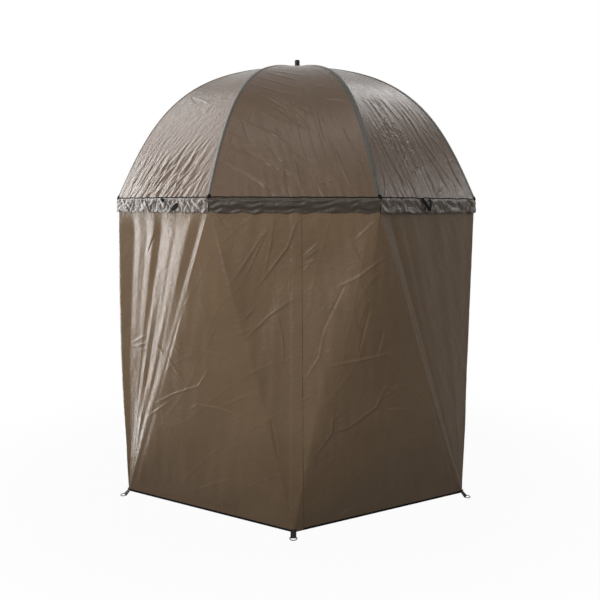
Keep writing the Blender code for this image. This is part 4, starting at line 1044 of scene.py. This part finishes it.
# Peg loops
# Each hem corner has a doubled tab of 25 mm black polypropylene webbing, woven in ribs, that holds a
# bent-wire D-ring, nickel-plated and darkened by use.
CORNERS = 6
webbing = finish("ribbed_webbing", 0.7, gloss=0.15)
web_places = place_on_tent(webbing)
ribs_in_weave = add(webbing, "TexWave", {"Vector": web_places, "Scale": 120.0}, bands_direction="Z")
dye(webbing, mottle(webbing, web_places, 0.004, 0, 1), (0.005, 0.005, 0.005), (0.020, 0.019, 0.018))
polish(webbing, mottle(webbing, web_places, 0.003, 0.6, 0.85))
relief(
    webbing, (ribs_in_weave.outputs["Fac"], 0.0002),
    (mottle(webbing, web_places, 0.001, 0, 1, 1), 0.0001),
)
clad(webbing, *[f"corner_tab_{k + 1}" for k in range(CORNERS)])

RING_PLATING = 0.0005
ring_nickel = patchy_finish(
    "ring_nickel", 0.3, (0.006, (0.016, 0.016, 0.016), (0.055, 0.055, 0.057)), (0.004, 0.25, 0.45),
    [(0.0015, 0.00005)], metallic=1.0,
)
for k in range(1, CORNERS + 1):
    shape = bmesh.new()
    shape.from_mesh(nodes[f"d_ring_{k}"].data)
    bmesh.ops.remove_doubles(shape, verts=shape.verts, dist=0.00002)
    shape.normal_update()
    for vertex in shape.verts:
        vertex.co += vertex.normal * RING_PLATING
        vertex.co.z = max(vertex.co.z, 0.0)
    for face in shape.faces:
        face.smooth = True
    mesh = bpy.data.meshes.new(f"peg_ring_{k}")
    shape.to_mesh(mesh)
    shape.free()
    mesh.materials.clear()
    mesh.materials.append(ring_nickel)
    peg_ring = stand(f"peg_ring_{k}", mesh)
    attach(peg_ring, f"d_ring_{k}")
    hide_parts(f"d_ring_{k}")


# Studio
# A pale floor that is white to the camera, and plain white light all round. A soft box in front and a
# tall one behind light the tent from the left. The gleams show only in the shine of the cloth, except
# that the one on the right fills the shade there as well.
AMBIENT = 0.42
FLOOR_GREY = 0.16
FLOOR_REACH = 14.0
SHADOW_NEAR, SHADOW_FAR = 1.0, 2.4
SHADOW_SHARE = 0.965


def seen_white(made):
    """1 where the camera, a shiny thing or a clear thing looks, and 0 for all other light."""
    path = add(made, "LightPath").outputs
    seen = add(made, "Math", {0: path["Is Camera Ray"], 1: path["Is Glossy Ray"]}, operation="MAXIMUM")
    return add(
        made, "Math", {0: seen.outputs[0], 1: path["Is Transmission Ray"]}, operation="MAXIMUM"
    ).outputs[0]


world = bpy.data.worlds.new("white_studio")
bpy.context.scene.world = world
world.use_nodes = True
world.node_tree.nodes.clear()
plain = add(world, "Background", {"Color": (1, 1, 1, 1), "Strength": AMBIENT})
white = add(world, "Background", {"Color": (1, 1, 1, 1), "Strength": 1.0})
lit = add(world, "MixShader", {"Fac": seen_white(world), 1: plain.outputs[0], 2: white.outputs[0]})
add(world, "OutputWorld", {"Surface": lit.outputs[0]})

paper = bpy.data.materials.new("floor_paper")
paper.use_nodes = True
paper.node_tree.nodes.clear()
matt = add(paper, "BsdfDiffuse", {"Color": (FLOOR_GREY, FLOOR_GREY, FLOOR_GREY, 1)})
glow = add(paper, "Emission", {"Strength": 1.0})
away = add(paper, "VectorMath", {0: add(paper, "TexCoord").outputs["Object"]}, operation="LENGTH")
fade = add(paper, "MapRange", {
    "Value": away.outputs["Value"], "From Min": SHADOW_NEAR, "From Max": SHADOW_FAR,
    "To Min": SHADOW_SHARE, "To Max": 1.0,
}, interpolation_type="SMOOTHSTEP")
share = add(
    paper, "Math", {0: fade.outputs["Result"], 1: seen_white(paper)}, operation="MULTIPLY"
)
lit = add(paper, "MixShader", {"Fac": share.outputs[0], 1: matt.outputs[0], 2: glow.outputs[0]})
add(paper, "OutputMaterial", {"Surface": lit.outputs[0]})
floor_corners = [(x * FLOOR_REACH, y * FLOOR_REACH, 0) for x, y in ((-1, -1), (1, -1), (1, 1), (-1, 1))]
solid_piece("floor", floor_corners, [(0, 1, 2, 3)], paper)


def soft_light(name, place, target, size, power):
    """A soft box that looks at a point, with its width and height in metres and its watts."""
    lamp = bpy.data.lights.new(name, "AREA")
    lamp.shape = "RECTANGLE"
    lamp.size, lamp.size_y = size
    lamp.energy = power
    holder = stand(name, lamp)
    holder.location = place
    look = Vector(target) - Vector(place)
    holder.rotation_euler = look.to_track_quat("-Z", "Y").to_euler()
    holder.visible_camera = False
    return holder


soft_light("key", (-1.9, -3.8, 2.5), (-0.1, -0.6, 1.25), (1.7, 1.7), 124)
soft_light("left_strip", (-3.6, 1.1, 1.5), (-0.6, -0.3, 1.1), (1.0, 3.0), 138)
for name, place, target, size, power in (
    ("left_rear_gleam", (-3.3, 1.8, 3.7), (-0.5, -0.4, 1.75), (3.2, 1.5), 80),
    ("rear_right_gleam", (2.3, 2.2, 4.3), (0.45, -0.4, 1.9), (2.0, 1.0), 24),
    ("crown_gleam", (0.0, 0.7, 4.7), (0, -0.5, 2.0), (3.4, 0.14), 1),
    ("overhead_gleam", (0.5, -1.7, 4.2), (0, -0.7, 1.7), (2.2, 0.9), 30),
    ("right_gleam", (3.3, 0.3, 2.55), (0.6, -0.6, 1.5), (0.8, 0.8), 17),
):
    soft_light(name, place, target, size, power).visible_diffuse = name == "right_gleam"
ground_gleam = soft_light("ground_gleam", (-2.35, 0.55, 0.015), (-2.35, 0.55, 1.0), (0.7, 2.4), 75)
ground_gleam.rotation_euler = (math.pi, 0, math.radians(60.5))
ground_gleam.visible_diffuse = False


# Camera
# It stands where the photographer stood, 4 m in front, at the height of the brim, looking slightly
# down.
CAMERA_PLACE = (0.0527, -4.0277, 1.3966)
PITCH, YAW, ROLL = -0.1216, -0.0088, 0.0024
FOCAL_LENGTH, SENSOR_WIDTH = 45.384, 36.0
look = Vector((math.sin(YAW) * math.cos(PITCH), math.cos(YAW) * math.cos(PITCH), math.sin(PITCH)))
level = look.cross(Vector((0, 0, 1))).normalized()
upright = level.cross(look)
right = level * math.cos(ROLL) + upright * math.sin(ROLL)
above = upright * math.cos(ROLL) - level * math.sin(ROLL)
lens = bpy.data.cameras.new("camera")
lens.sensor_width = SENSOR_WIDTH
lens.lens = FOCAL_LENGTH
camera = stand("camera", lens)
turn = Matrix((right, above, -look)).transposed().to_4x4()
camera.matrix_world = Matrix.Translation(CAMERA_PLACE) @ turn
bpy.context.scene.camera = camera
bpy.context.scene.view_settings.view_transform = "Standard"
